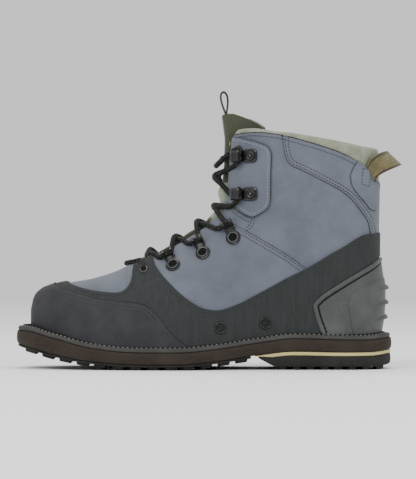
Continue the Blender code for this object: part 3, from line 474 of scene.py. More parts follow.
# Insole
# A cloth-covered foam board inside, which the foot stands on. It lies on the welt board, within the
# upper's wall, and its cloth is a plain weave worn smooth.
INSOLE_THICKNESS, UPPER_WALL, UPPER_TOE_AT = 0.0035, 0.0025, 0.043
FEATHER_GAP, UPPER_HEIGHT, SHAFT_WIDTH = 0.0009, 0.1735, 0.088
insole_inset = UPPER_WALL + 4 * GAP
insole_first = UPPER_TOE_AT + 1.2 * insole_inset / SOLE_LENGTH
insole_last = 0.966 - 2.4 * insole_inset / SOLE_LENGTH
insole_at = end_spaced(90, insole_first, insole_last)[:, None]
insole_out = np.array([0, 0.4, 0.8, 0.97, 1, 1, 0.97, 0.8, 0.4])
insole_across = np.concatenate([insole_out, -insole_out])
insole_level = np.array([0, 0, 0, 0, 0.1, 0.85, 1, 1, 1, 1, 1, 1, 1, 0.85, 0.1, 0, 0, 0])
insole_half = ((plan_half_width(insole_at) - SIDE_LEDGE - insole_inset)
               * rounding((insole_at - insole_first) / TOE_ROUND)
               * rounding((insole_last - insole_at) / HEEL_ROUND, 2.0))
insole_grid = np.stack(np.broadcast_arrays(
    to_x(insole_at), centre_line(insole_at) + insole_half * insole_across,
    welt_top(insole_at) + GAP + INSOLE_THICKNESS * insole_level), axis=-1)


def lining_cloth(name, dark, light):
    """Knitted cloth: threads 1.1 mm apart cross as two sets of fine waves, over a soft broad shading."""
    finish, here = blank_finish(name)
    inputs = {"Scale": 0.314 / 0.0011, "Distortion": 1.2, "Detail": 1.0, "Vector": here}
    threads = [texture(finish, "TexWave", "Fac", inputs, bands_direction=way) for way in ("X", "Z")]
    weave = blended(finish, "MULTIPLY", 1.0, *threads)
    broad = between(finish, grain(finish, here, 0.012, 3.0), dark, light)
    return finished(finish, blended(finish, "MULTIPLY", 0.35, broad, weave), raised(finish, weave, 0.00018),
                    0.9, 0.25)


lining = lining_cloth("lining_sage_mesh", (128, 133, 112), (160, 166, 146))
inner_cloth = lining_cloth("inside_grey_cloth", (62, 64, 60), (84, 86, 80))
piece("insole_board", insole_grid, inner_cloth, ["insole"])

# Upper
# One boot-shaped wall of synthetic nubuck, 2.5 mm thick with its lining, pulled over a last and cemented
# down to the welt. It is open down the front and at the collar, and it bends a little at the ankle.
THROAT_HALF_GAP, THROAT_ROW, COLLAR_ROW = 0.015, 6, 17
BACK = table("rise along shaft", (0, 0.966, 0), (0.1, 0.974, 0.05), (0.2, 0.976, 0.22), (0.39, 0.966, 0.62),
             (0.57, 0.967, 0.9), (0.75, 0.969, 1), (1.2, 0.971, 1))
SECTION = table("front front_rise foot foot_rise bow round fullness throat",
                (0.043, 0.079, 0.043, 0, 0, 0.85, 2, 0), (0.051, 0.142, 0.051, 0, 0, 0.85, 2.1, 0),
                (0.068, 0.186, 0.068, 0, 0, 0.85, 2.2, 0), (0.099, 0.226, 0.099, 0, 0, 0.85, 2.3, 0),
                (0.165, 0.283, 0.165, 0, 0, 0.85, 2.3, 0), (0.213, 0.318, 0.213, 0, 0, 0.85, 2.2, 0),
                (0.266, 0.362, 0.266, 0, 0, 0.83, 2.1, 0), (0.317, 0.415, 0.325, 0, 0, 0.8, 2, 0.75),
                (0.397, 0.476, 0.41, 0, 0, 0.75, 2, 0.9), (0.463, 0.547, 0.511, 0, 0, 0.66, 2, 0.95),
                (0.511, 0.604, 0.634, 0, 0, 0.52, 2, 1), (0.539, 0.65, 0.761, 0, 0, 0.42, 2, 1.1),
                (0.55, 0.7, 0.876, 0, 0, 0.36, 2, 1.18), (0.553, 0.76, 0.966, 0, 0, 0.34, 2, 1.2),
                (0.554, 0.81, 0.976, 0.167, 0, 0.38, 2, 1.22),
                (0.555, 0.857, 0.966, 0.388, 0, 0.42, 2, 1.24),
                (0.556, 0.919, 0.967, 0.568, 0.03, 0.44, 2, 1.26),
                (0.558, 1, 0.969, 0.736, 0.11, 0.45, 2, 1.28))
SECTION["row"] = np.arange(COLLAR_ROW + 1.0)


def feather(along):
    return welt_top(along) + FEATHER_GAP


def height_at(along, rise):
    return feather(along) + rise * UPPER_HEIGHT


def upper_half_width(along, height):
    """Half-width of the upper: the foot's outline low down, the leg's higher up, round at both ends."""
    rise = (height - feather(along)) / UPPER_HEIGHT
    leg, back = shape(BACK, "rise", "shaft", rise), shape(BACK, "rise", "along", rise)
    width = (plan_half_width(along) - SIDE_LEDGE) * (1 - leg) + SHAFT_WIDTH / 2 * leg
    return width * rounding((along - UPPER_TOE_AT) / TOE_ROUND) * rounding((back - along) / HEEL_ROUND, 2.1)


def section_values(row):
    """A section's columns at any row number, its foot kept on the back line above the feather edge."""
    values = {name: shape(SECTION, "row", name, row) for name in SECTION if name != "row"}
    on_back = shape(BACK, "rise", "along", values["foot_rise"])
    values["foot"] = np.where(values["foot_rise"] > 0, on_back, values["foot"])
    return values


def skin_point(row, angle, flank, side):
    """A point of the last: row counts sections from the toe to the collar, angle goes round the top of
    the foot as a superellipse, flank 0 to 1 goes on down a sine to the foot, side is -1 lateral."""
    c = section_values(row)
    front = np.stack([to_x(c["front"]), height_at(c["front"], c["front_rise"])])
    foot = np.stack([to_x(c["foot"]), height_at(c["foot"], c["foot_rise"])])
    ruling = foot - front
    depth = np.where(flank <= 0, c["round"] * (1 - np.cos(angle) ** (2 / c["fullness"])),
                     c["round"] + (1 - c["round"]) * np.sin(math.pi / 2 * flank))
    length = np.maximum(np.hypot(*ruling), 0.00001)
    lift = c["bow"] * length * (1 - np.abs(2 * depth - 1) ** 3)
    x = front[0] + ruling[0] * depth - lift * ruling[1] / length
    z = front[1] + ruling[1] * depth + lift * ruling[0] / length
    along = to_along(x)
    leg = shape(BACK, "rise", "shaft", (z - feather(along)) / UPPER_HEIGHT)
    y = (centre_line(along) * (1 - leg)
         + side * upper_half_width(along, z) * np.sin(angle) ** (2 / c["fullness"]))
    return np.stack([x, y, z], axis=-1)


def angle_at_width(c, width):
    """How far round a section a point at this half-width lies."""
    along = c["front"] + (c["foot"] - c["front"]) * c["round"]
    front, foot = height_at(c["front"], c["front_rise"]), height_at(c["foot"], c["foot_rise"])
    middle = np.maximum(upper_half_width(along, front + (foot - front) * c["round"]), THROAT_HALF_GAP)
    return np.arcsin(np.clip(width / middle, 0, 0.97) ** (c["fullness"] / 2))


def upper_point(row, swing, side):
    """A point of the outer face: swing is 0 at the throat's edge, 1 where the round ends, 2 at the foot."""
    start = angle_at_width(section_values(row), THROAT_HALF_GAP * shape(SECTION, "row", "throat", row))
    angle = start + (math.pi / 2 - start) * np.clip(swing, 0, 1)
    return skin_point(row, angle, np.clip(swing - 1, 0, 1), side)


def two_sided(name, row, swing, stand, relief=None):
    """A sheet on both sides of the last, joined where the sides meet, stood off it along its normals.
    row and swing are a grid for each side, or None; relief gives more stand from the place itself."""
    halves = [upper_point(r, s, side) for r, s, side in zip(row, swing, (-1, 1)) if r is not None]
    mesh = grid_mesh(name, np.stack(halves), wrap=False, close=False)
    bm = bmesh.new()
    bm.from_mesh(mesh)
    bmesh.ops.recalc_face_normals(bm, faces=bm.faces)
    bm.normal_update()
    facing = sum(face.normal.dot(face.calc_center_median() - Vector((-0.1, 0, 0.03))) for face in bm.faces)
    if facing < 0:
        bmesh.ops.reverse_faces(bm, faces=bm.faces)
        bm.normal_update()
    bm.to_mesh(mesh)
    bm.free()
    points, normals = np.empty(len(mesh.vertices) * 3), np.empty(len(mesh.vertices) * 3, np.float32)
    mesh.vertices.foreach_get("co", points)
    mesh.vertex_normals.foreach_get("vector", normals)
    if relief:
        stand = stand + np.repeat(relief(points.reshape(-1, 3)), 3)
    mesh.vertices.foreach_set("co", points + normals * stand)
    mesh.update()
    return mesh


def walled(thing, wall, inner=None, rounded=0.0):
    """Gives a sheet its wall, inwards from its outer face, with its rim rounded."""
    if inner:
        thing.data.materials.append(inner)
    solid = thing.modifiers.new("wall", "SOLIDIFY")
    solid.thickness, solid.offset, solid.material_offset = wall, -1, 1 if inner else 0
    if rounded:
        bevel = thing.modifiers.new("rim", "BEVEL")
        bevel.width, bevel.segments, bevel.harden_normals = rounded, 2, True
        bevel.limit_method, bevel.angle_limit = "ANGLE", math.radians(50)
    return thing


def nubuck(name, dark, light):
    """Buffed nubuck: a fine nap, faint broad clouds, and pores as small dark points."""
    finish, here = blank_finish(name)
    nap = grain(finish, here, 0.0006, 6.0, 0.7)
    clouds = grain(finish, here, 0.03, 4.0)
    pores = texture(finish, "TexVoronoi", "Distance", {"Scale": 900, "Vector": here})
    napped = blended(finish, "SOFT_LIGHT", 0.5, between(finish, clouds, dark, light), nap)
    pored = between(finish, pores, (220.6, 220.6, 220.6), (255, 255, 255), 0.05, 0.35)
    normal = raised(finish, clouds, 0.0006, raised(finish, nap, 0.00010))
    return finished(finish, blended(finish, "MULTIPLY", 0.35, napped, pored), normal, 0.82, 0.12, 0.6)


upper_leather = nubuck("upper_blue_grey_nubuck", (82, 87, 97), (97, 102, 112))
shell_row, shell_swing = np.meshgrid(np.linspace(0, COLLAR_ROW, 290), np.concatenate(
    [np.linspace(0, 1, 30), np.linspace(1, 2, 26)[1:]]), indexing="ij")
shell = two_sided("upper_shell", [shell_row] * 2, [shell_swing] * 2, 0.0)
walled(place(shell, upper_leather, ["upper"]), UPPER_WALL, inner_cloth)

# Tongue
# A padded sheet of sage mesh with a darker woven top and a tape down its ridge. It is sewn in under the
# throat, bends down at the throat's edge on both sides, and stands up inside the cuff.
TONGUE_TUCK, TONGUE_CLEARANCE, TONGUE_CROWN, TONGUE_RISE, TONGUE_LEAN = 0.011, 0.0016, 0.0008, 0.0210, 0.0008
TONGUE_THICKNESS, PUFF_HEIGHT, PUFF_PITCH, SAGE_TOP = 0.0040, 0.0011, 0.021, 0.158
STRIP_BASE, STRIP_TOP, TAPE_HALF_WIDTH, TAPE_TOP, MIDDLE = 0.1895, 0.1935, 0.0080, 0.128, 40
TONGUE_TOP = table("back half", (0, 0), (0.0008, 0.006), (0.0035, 0.0085), (0.013, 0.0096),
                   (0.0215, 0.0098), (0.035, 0.0165))
TONGUE_TOP_DROP = table("back drop", (0, 0.0022), (0.0012, 0.0009), (0.004, 0.0001), (0.01, 0),
                        (0.019, 0.003), (0.029, 0.0078), (0.035, 0.0125))
PUFFS = table("height size spread", (0.1505, 0.004, 0.007), (0.133, 0.0016, 0.006), (0.113, 0.0012, 0.007))


def ramp(value, start, stop):
    """0 below start and 1 above stop, with a smooth slope between."""
    share = np.clip((value - start) / (stop - start), 0, 1)
    return share * share * (3 - 2 * share)


def out_of_sheet(points, column):
    """Directions out of a sheet of points, on the side where this column's turn up and forwards."""
    out = unit(np.cross(np.gradient(points, axis=0), np.gradient(points, axis=1)))
    return out * np.sign(out[:, column:column + 1, 2:] - out[:, column:column + 1, :1] + 1e-9)


def tongue_grid(rows, share):
    """Points of the tongue's outer face. Low down it follows the last, stood out between the throat's
    edges and tucked in under them; near the collar it blends into a narrow gutter that stands up and is
    cut lower at its sides. rows counts sections, share runs from -1 to 1 across."""
    c = section_values(np.minimum(rows, COLLAR_ROW))
    gap = THROAT_HALF_GAP * c["throat"]
    reach = gap + TONGUE_TUCK
    crown, edge = np.maximum(gap - 0.008, 0.3 * reach), np.maximum(gap - 0.003, 0.55 * reach)
    knots = np.stack([0 * gap, crown / 2, crown, edge, (edge + reach) / 2, reach])
    place_in = np.abs(share) * 5
    cell = np.minimum(place_in.astype(int), 4)
    nearer, further = (np.take_along_axis(knots, one[None], 0)[0] for one in (cell, cell + 1))
    width = nearer + (further - nearer) * (place_in - cell)
    side = np.where(share < 0, -1.0, 1.0)
    low = skin_point(np.minimum(rows, COLLAR_ROW), angle_at_width(c, width), 0 * width, side)
    over = np.maximum(rows - COLLAR_ROW, 0) * TONGUE_RISE
    low[..., 2] += over
    raised_part = ramp(gap, 0.0085, 0.0115) * ramp(gap - width, 0.0055, 0.0085)
    stand = TONGUE_CROWN * raised_part - (UPPER_WALL + TONGUE_CLEARANCE) * (1 - raised_part)
    low = low + out_of_sheet(low, 0) * stand[..., None]
    knot_at = np.arange(6) / 5
    back = np.interp(np.abs(share), knot_at, TONGUE_TOP["back"])
    half = np.interp(np.abs(share), knot_at, TONGUE_TOP["half"])
    lean = TONGUE_LEAN * np.clip((rows - COLLAR_ROW + 2) / 2, 0, 1.6)
    cut = 1 - np.interp(back, TONGUE_TOP_DROP["back"], TONGUE_TOP_DROP["drop"]) / TONGUE_RISE
    high = np.stack([to_x(c["front"]) + back - lean - over * 0.1, side * half,
                     height_at(c["front"], c["front_rise"]) + over * cut], axis=-1)
    return low + (high - low) * np.clip((rows - COLLAR_ROW + 2.4) / 1.0, 0, 1)[..., None]


def tongue_cloth(name):
    """Sage mesh low down and dark woven cloth above, from the zone attribute, over a fine weave. The
    stripe attribute gives a band of pale ribs across."""
    finish, here = blank_finish(name)
    zone, stripe = (texture(finish, "Attribute", "Fac", {}, attribute_name=key) for key in ("zone", "stripe"))
    weave = texture(finish, "TexWave", "Fac", {"Scale": 420, "Vector": stretched(finish, here, (1, 1, 0))},
                    bands_direction="DIAGONAL")
    fibre = grain(finish, here, 0.0008)
    sage = between(finish, fibre, (118, 130, 110), (158, 170, 148))
    olive = between(finish, fibre, (50, 52, 41), (75, 78, 63))
    rib = between(finish, weave, (58, 60, 48), (134, 144, 122), 0.4, 0.6)
    colour = blended(finish, "MIX", stripe, blended(finish, "MIX", zone, sage, olive), rib)
    return finished(finish, colour, raised(finish, fibre, 0.00025), 0.9, 0.2)


tongue_rows, tongue_share = np.meshgrid(np.linspace(THROAT_ROW, COLLAR_ROW + 1, 190),
                                        np.linspace(-1, 1, 2 * MIDDLE + 1), indexing="ij")
tongue_points = tongue_grid(tongue_rows, tongue_share)
puffs = np.abs(np.sin(math.pi * run_along(tongue_points[:, MIDDLE]) / PUFF_PITCH)) ** 0.6
low_part = 1 - ramp(tongue_points[:, MIDDLE, 2], SAGE_TOP - 0.004, SAGE_TOP + 0.004)
middle_part = 1 - ramp(np.abs(tongue_share), 0.25, 0.5)
puff = PUFF_HEIGHT * (puffs - 1)[:, None] * low_part[:, None]
for high_at, size, spread in zip(*PUFFS.values()):
    puff = puff + size * np.exp(-((tongue_points[..., 2] - high_at) / spread) ** 2)
tongue_points = tongue_points + out_of_sheet(tongue_points, MIDDLE) * (puff * middle_part)[..., None]
height = tongue_points[..., 2]
ridge_tape = 1 - ramp(np.abs(tongue_points[..., 1]), TAPE_HALF_WIDTH, TAPE_HALF_WIDTH + 0.0008)
zone = np.maximum(ramp(height, SAGE_TOP - 0.001, SAGE_TOP + 0.001),
                  ridge_tape * (1 - ramp(height, TAPE_TOP, TAPE_TOP + 0.002)))
strip = (ramp(height, STRIP_BASE, STRIP_BASE + 0.0006)
         * (1 - ramp(height, STRIP_TOP - 0.0006, STRIP_TOP)))
tongue_mesh = grid_mesh("tongue_padded", tongue_points, wrap=False, close=False,
                        attributes=(("zone", zone), ("stripe", strip)))
tongue_mesh.flip_normals()
tongue = walled(place(tongue_mesh, tongue_cloth("tongue_sage_and_olive"), ["tongue"]),
                TONGUE_THICKNESS, rounded=0.0012)

# Collar
# A cuff of foam under sage mesh is sewn inside the top edge. It rises above the leather all round, most
# of all at the back, and bulges softly between its seams.
COLLAR_PADDING = 0.0075
COLLAR_TOP = table("along rise", (0.56, 1.015), (0.589, 1.032), (0.617, 1.027), (0.706, 0.984),
                   (0.829, 0.948), (0.975, 0.905))


def cuff_line(row, swing):
    """The leather's line at one section, from the lateral throat round the back, and level ways out."""
    halves = [upper_point(np.full(len(swing), row), swing, side) for side in (-1, 1)]
    line = np.concatenate([halves[0], halves[1][-2::-1]])
    ahead = np.gradient(line, axis=0)
    return line, unit(np.stack([ahead[:, 1], -ahead[:, 0], 0 * ahead[:, 0]], axis=-1))


def spline(knots, steps):
    """A Catmull-Rom curve, a cubic from each knot but the first and the last two to the next one. The
    knots may be points or whole rings of points."""
    t = np.linspace(0, 1, steps, endpoint=False).reshape(-1, *[1] * (knots.ndim - 1))
    p0, p1, p2, p3 = (knots[k:len(knots) - 3 + k, None] for k in range(4))
    curve = 0.5 * (2 * p1 + (p2 - p0) * t + (2 * p0 - 5 * p1 + 4 * p2 - p3) * t ** 2
                   + (3 * p1 - p0 - 3 * p2 + p3) * t ** 3)
    return curve.reshape(-1, *knots.shape[1:])


cuff_swing = np.concatenate([np.linspace(0, 1, 60), np.linspace(1, 2, 50)[1:]])
(edge, outward), (half_down, out_half), (row_down, out_row) = (
    cuff_line(row, cuff_swing) for row in (COLLAR_ROW, COLLAR_ROW - 0.5, COLLAR_ROW - 1))
edge_along = to_along(edge[:, 0])
cuff_top = height_at(edge_along, shape(COLLAR_TOP, "along", "rise", edge_along)) - edge[:, 2]
skin, inside = -(UPPER_WALL + 4 * GAP), -(UPPER_WALL + 4 * GAP + COLLAR_PADDING)
seat_up, roll = 2 * GAP, np.minimum(0.004, cuff_top * 0.45)
over = [(skin, 0 * cuff_top + seat_up), (-GAP, 0 * cuff_top + seat_up), (-GAP, cuff_top - roll),
        (inside * 0.3, cuff_top), (inside * 0.7, cuff_top), (inside, cuff_top - roll),
        (inside, 0 * cuff_top)]
rings = [edge + outward * out + np.array([0, 0, 1.0]) * up[:, None] for out, up in over]
rings += [half_down + out_half * inside, row_down + out_row * (inside * 0.7), row_down + out_row * skin,
          half_down + out_half * skin]
cuff_rings = spline(np.stack([rings[-1], *rings, *rings[:2]]), 4).transpose(1, 0, 2)
cuff_run = run_along(edge)
from_end = np.clip(np.minimum(cuff_run, cuff_run[-1] - cuff_run) / 0.003, 0, 1)
cuff_heart = cuff_rings.mean(axis=1, keepdims=True)
cuff_grid = cuff_heart + (cuff_rings - cuff_heart) * np.sqrt(1 - (1 - from_end) ** 2)[:, None, None]
cuff = piece("collar_cuff_padded", cuff_grid, lining, ["collar_cuff"])

# Leather panels
# The quarter is sewn from panels of the same nubuck: a lace stay down the throat, a collar panel round
# the ankle, and a patch that carries the hooks. Each is skived thin at its edge and sewn through twice.
PANEL_WALL, SEAM_ROWS, FOXING_WALL = 0.0008, (0.0016, 0.0042), 0.0016
OVERLAY, EDGE_SEAM, ANCHOR_WALL = GAP + FOXING_WALL, -0.0024, 0.0009
TOP_ROW, BEHIND_THE_EDGE = 16.9, 0.0030


def outline(*places):
    """A line through places, each a share along the sole and a share of rise, curved between them."""
    columns = table("row along rise", *((number, *spot) for number, spot in enumerate(places)))
    rows = np.linspace(0, len(places) - 1, (len(places) - 1) * 8 + 1)
    return shape(columns, "row", "along", rows), shape(columns, "row", "rise", rows)


def seen(point):
    """Where points show from the side: metres along the sole and up from the feather."""
    return np.stack([point[..., 0], point[..., 2] - feather(to_along(point[..., 0]))], axis=-1)


def within(point, line):
    """Whether points lie inside a closed line, counting how often a ray from each one crosses it."""
    along, rise = np.moveaxis(seen(point), -1, 0)
    along, rise = to_along(along), rise / UPPER_HEIGHT
    inside = np.zeros(along.shape, bool)
    a, r = line
    for a0, r0, a1, r1 in zip(a, r, np.roll(a, -1), np.roll(r, -1)):
        if r0 != r1:
            inside ^= ((rise < r0) != (rise < r1)) & (along < a0 + (rise - r0) * (a1 - a0) / (r1 - r0))
    return inside


def panel_cells(line, first_row, last_row, columns):
    """Grids of row and swing for a panel: on each row it runs between the two swings where its line is
    crossed, found by halving, and the columns share out what lies between."""
    rows = np.linspace(first_row, last_row, int((last_row - first_row) * 20) + 1)
    swings = np.linspace(0, 2, 161)
    inside = within(upper_point(*np.meshgrid(rows, swings, indexing="ij"), -1), line)
    some = inside.any(axis=1)
    rows, inside = rows[some], inside[some]
    low, high = inside.argmax(axis=1), len(swings) - 1 - inside[:, ::-1].argmax(axis=1)
    ends = []
    for found, step in ((low, -1), (high, 1)):
        within_it, beyond = swings[found], swings[np.clip(found + step, 0, len(swings) - 1)]
        for _ in range(12):
            middle = (within_it + beyond) / 2
            still = within(upper_point(rows, middle, -1), line)
            within_it, beyond = np.where(still, middle, within_it), np.where(still, beyond, middle)
        ends.append(within_it)
    share = (1 - np.cos(np.linspace(0, math.pi, columns))) / 4 + np.linspace(0, 1, columns) / 2
    swing = ends[0][:, None] + (ends[1] - ends[0])[:, None] * share
    return np.broadcast_to(rows[:, None], swing.shape), swing


def panel(name, line, rows, stand, wall, finish, nodes=(), sides=(True, True), rounded=0.0004,
          columns=26, relief=None):
    """A panel laid on the last inside a closed line: its outer face stands off by stand and wall, and by
    relief where that is given as a function of the place, and its wall goes inwards from there."""
    row, swing = panel_cells(line, *rows, columns)
    sheet = two_sided(name, [row if side else None for side in sides], [swing] * 2, stand + wall, relief)
    walled(place(sheet, finish, nodes), wall, rounded=rounded)


def beside(line, distance):
    """A line moved sideways over the leather, to its left for a positive distance."""
    flat = np.stack([line[0] * SOLE_LENGTH, line[1] * UPPER_HEIGHT], axis=-1)
    ahead = unit(np.gradient(flat, axis=0))
    flat = flat + np.stack([-ahead[:, 1], ahead[:, 0]], axis=-1) * distance
    return flat[:, 0] / SOLE_LENGTH, flat[:, 1] / UPPER_HEIGHT


def facing(row, swing, side):
    """Places on the last and directions out of it: the cross product of its two slopes there."""
    row, swing = np.clip(row, 0.01, COLLAR_ROW - 0.01), np.clip(swing, 0.004, 1.996)
    here = upper_point(row, swing, side)
    by_row = upper_point(row + 0.01, swing, side) - upper_point(row - 0.01, swing, side)
    by_swing = upper_point(row, swing + 0.004, side) - upper_point(row, swing - 0.004, side)
    out = unit(np.cross(by_row, by_swing))
    heart = np.stack([np.clip(here[:, 0], -0.22, -0.02), 0 * here[:, 0], np.full(len(here), 0.035)], axis=-1)
    return here, out * np.sign(((here - heart) * out).sum(axis=-1, keepdims=True))


def on_last(line, side):
    """Places on the last, and directions out of it, under a line of shares along and up. Row and swing
    come from the nearest of many samples, and are then put right along both slopes a few times."""
    target = np.stack([to_x(line[0]), line[1] * UPPER_HEIGHT], axis=-1)
    rows, swings = (grid.ravel() for grid in np.meshgrid(np.linspace(0, COLLAR_ROW, 205),
                                                         np.linspace(0, 2, 81)))
    samples = seen(upper_point(rows, swings, 1))
    nearest = ((samples[:, None] - target) ** 2).sum(axis=-1).argmin(axis=0)
    row, swing = rows[nearest], swings[nearest]
    for _ in range(5):
        here = seen(upper_point(row, swing, 1))
        by_row = (seen(upper_point(row + 0.01, swing, 1)) - here) / 0.01
        by_swing = (seen(upper_point(row, swing + 0.004, 1)) - here) / 0.004
        spread = by_row[:, 0] * by_swing[:, 1] - by_row[:, 1] * by_swing[:, 0]
        spread = np.where(np.abs(spread) < 1e-7, np.inf, spread)
        miss = target - here
        row_step = (miss[:, 0] * by_swing[:, 1] - miss[:, 1] * by_swing[:, 0]) / spread
        swing_step = (by_row[:, 0] * miss[:, 1] - by_row[:, 1] * miss[:, 0]) / spread
        row = np.clip(row + np.clip(row_step, -0.08, 0.08), 0, COLLAR_ROW)
        swing = np.clip(swing + np.clip(swing_step, -0.03, 0.03), 0, 2)
    return facing(row, swing, side)


def part_of(line, low=0.0, high=2.0, top=2.0):
    """The part of a line that lies between two places along the sole and below a share of rise."""
    kept = (line[0] >= low) & (line[0] <= high) & (line[1] < top)
    return line[0][kept], line[1][kept]


def both_sides(line, stand, distances=(0.0,)):
    """Tracks on both sides of the boot, at distances beside a line and stood off the last."""
    tracks = [on_last(beside(line, distance), side) for side in (-1, 1) for distance in distances]
    return [(place_on + out * stand, out) for place_on, out in tracks]


def sewn(name, tracks, finish):
    """Rows of stitches along tracks of places and directions, as one piece."""
    rows = [stitches(place_on, out, 0.0026, 0.0018, 0.0007) for place_on, out in tracks]
    piece(name, np.concatenate(rows), finish)


def edge_cord(name, tracks, finish, width=0.0007, height=0.0006):
    """A fine closed ridge along each track."""
    cords = [carried(place_on, out, width, height, 6) for place_on, out in tracks]
    piece(name, np.stack(cords), finish)


dark_thread = waxed_thread("seam_dark_thread", (24, 26, 33), (44, 46, 55))
pale_thread = waxed_thread("seam_pale_thread", (112, 114, 122), (150, 152, 158))
# Painted shade: near-black nubuck for the cords along the panels' edges and seams, for the shade under each
# step.
edge_painted_shade = nubuck("upper_edge_painted_shade_nubuck", (28, 30, 38), (42, 44, 53))
pressed_leather = nubuck("upper_seam_nubuck", (88, 89, 97), (103, 103, 111))
stay_line = outline((0.52, 0.65), (0.58, 0.568), (0.64, 0.489), (0.7, 0.408), (0.769, 0.315), (0.8, 0.27),
                    (0.8, 0.1), (0.2, 0.1), (0.2, 0.65))
collar_line = outline((0.709, 1.2), (0.709, 0.96), (0.712, 0.9), (0.718, 0.852), (0.73, 0.82),
                      (0.758, 0.795), (0.811, 0.749), (0.864, 0.697), (0.892, 0.655), (0.917, 0.597),
                      (0.935, 0.545), (0.942, 0.48), (0.95, 0.3), (1.1, 0.3), (1.1, 1.2))
patch_line = outline((0.52, 1.1), (0.545, 1.022), (0.578, 0.999), (0.617, 0.972), (0.656, 0.938),
                     (0.672, 0.915), (0.679, 0.875), (0.677, 0.78), (0.676, 0.662), (0.668, 0.622),
                     (0.648, 0.601), (0.63, 0.59), (0.612, 0.606), (0.579, 0.66), (0.52, 0.75))
panel("upper_lace_stay", stay_line, (6.6, 13.6), 0.00005, PANEL_WALL, upper_leather)
panel("upper_collar_panel", collar_line, (13.0, 17), 0.00005, PANEL_WALL, upper_leather)
for label, sides in (("lateral", (True, False)), ("medial", (False, True))):
    panel(f"upper_hook_patch_{label}", patch_line, (11.5, 17), GAP, FOXING_WALL, upper_leather,
          [f"ankle_patch_{label}"], sides)

stay_seam, collar_seam = part_of(stay_line, 0.578, 0.777), part_of(collar_line, 0.700, 0.943, 1.0)
patch_seam = part_of(patch_line, 0.580, 0.700)
small_seam = outline((0.577, 0.64), (0.598, 0.606), (0.621, 0.577))
curved_seam = outline((0.624, 0.602), (0.63, 0.583), (0.626, 0.556), (0.612, 0.534))
small_tracks = [track for line in (small_seam, curved_seam)
                for track in both_sides(line, 0, (-0.0013, 0.0013))]
sewn("upper_stay_stitches", both_sides(stay_seam, PANEL_WALL, [-row for row in SEAM_ROWS]), dark_thread)
sewn("upper_collar_stitches", both_sides(collar_seam, PANEL_WALL, SEAM_ROWS), dark_thread)
sewn("upper_small_stitches", small_tracks, dark_thread)
sewn("upper_patch_stitches", both_sides(patch_seam, OVERLAY, [EDGE_SEAM]), pale_thread)
for label, line, way in (("stay", stay_seam, -1), ("collar", collar_seam, 1)):
    edge_cord(f"upper_{label}_band", both_sides(line, PANEL_WALL - 0.0001, [way * sum(SEAM_ROWS) / 2]),
              pressed_leather, 0.0019, 0.0007)
# Painted shade: dark cords along the edges of the lace stay, the collar panel and the hook patches.
edge_cord("upper_stay_edge", both_sides(stay_seam, 0.0006), edge_painted_shade)
edge_cord("upper_collar_edge", both_sides(collar_seam, 0.0006), edge_painted_shade)
edge_cord("upper_patch_edge", both_sides(patch_seam, FOXING_WALL), edge_painted_shade, 0.0008, 0.0008)


def edge_track(rows, away, side, stand):
    """A track along the throat's edge, away from it over the leather by a distance."""
    values = section_values(rows)
    angle = angle_at_width(values, THROAT_HALF_GAP * values["throat"] + away)
    here = skin_point(rows, angle, 0 * rows, side)
    by_row = skin_point(rows + 0.01, angle, 0 * rows, side) - here
    by_angle = skin_point(rows, angle + 0.01, 0 * rows, side) - here
    out = unit(np.cross(by_row, by_angle)) * -side
    return here + out * stand, out


throat_tracks = [edge_track(np.linspace(first, last, 120), BEHIND_THE_EDGE, side, stand)
                 for first, last, stand in ((6.8, 11.3, PANEL_WALL), (11.6, 16.6, OVERLAY))
                 for side in (-1, 1)]
sewn("upper_throat_stitches", throat_tracks, dark_thread)
top_tracks = [facing(np.full(260, TOP_ROW), np.linspace(0.12, 2.0, 260), side) for side in (-1, 1)]
on_panel = (to_along(top_tracks[0][0][:, :1]) > collar_line[0][0]) * PANEL_WALL
sewn("upper_top_stitches", [(here + out * on_panel, out) for here, out in top_tracks], dark_thread)

# Foxing
# A band of dark coated cloth wraps the foot above the welt and rises into a tab at the first eyelets.
# It is cemented over the nubuck and sewn along its top edge, and its coating has faint upright streaks.


def coated_cloth(name, dark, light):
    """Matte coating over cloth: fine pebbles, and streaks a few millimetres apart that run upwards."""
    finish, here = blank_finish(name)
    streaks = grain(finish, stretched(finish, here, (1.0, 1.0, 0.12)), 0.003, 3.0)
    pebble = grain(finish, here, 0.0007, 4.0)
    colour = blended(finish, "SOFT_LIGHT", 0.6, between(finish, streaks, dark, light), pebble)
    return finished(finish, colour, raised(finish, pebble, 0.00012), 0.72)


foxing_cloth = coated_cloth("foxing_dark_coated_cloth", (39, 41, 41), (46, 49, 49))
black_thread = waxed_thread("foxing_black_thread", (22, 23, 24), (38, 40, 40))
top_line = outline((0.118, 0.268), (0.133, 0.256), (0.16, 0.2505), (0.21, 0.248), (0.264, 0.252),
                   (0.29, 0.267), (0.306, 0.303), (0.314, 0.352), (0.318, 0.44), (0.365, 0.47),
                   (0.368, 0.415), (0.383, 0.365), (0.415, 0.299), (0.463, 0.221), (0.503, 0.176),
                   (0.54, 0.162), (0.592, 0.179), (0.652, 0.22), (0.758, 0.303), (0.864, 0.421),
                   (0.938, 0.49), (1.06, 0.5))
rear_line = outline((1.06, 0.405), (0.979, 0.385), (0.935, 0.337), (0.864, 0.255), (0.804, 0.175),
                    (0.789, 0.137), (0.794, 0.09), (0.811, 0))
cap_line = outline((0.091, 0.26), (0.1, 0.232), (0.12, 0.219), (0.17, 0.218), (0.222, 0.212),
                   (0.275, 0.212), (0.336, 0.204), (0.357, 0.188), (0.381, 0.146), (0.409, 0.078),
                   (0.436, 0.03), (0.46, 0))
foxing_outline = np.concatenate([top_line, np.add(rear_line, [[-0.001], [0.002]]),
                                 [[0.809, 0.462], [-0.1, -0.1]],
                                 np.add(cap_line, [[0.001], [0.002]])[:, ::-1]], axis=1)
panel("foxing_band", foxing_outline, (2.9, 17), GAP, FOXING_WALL, foxing_cloth, ["foxing"])
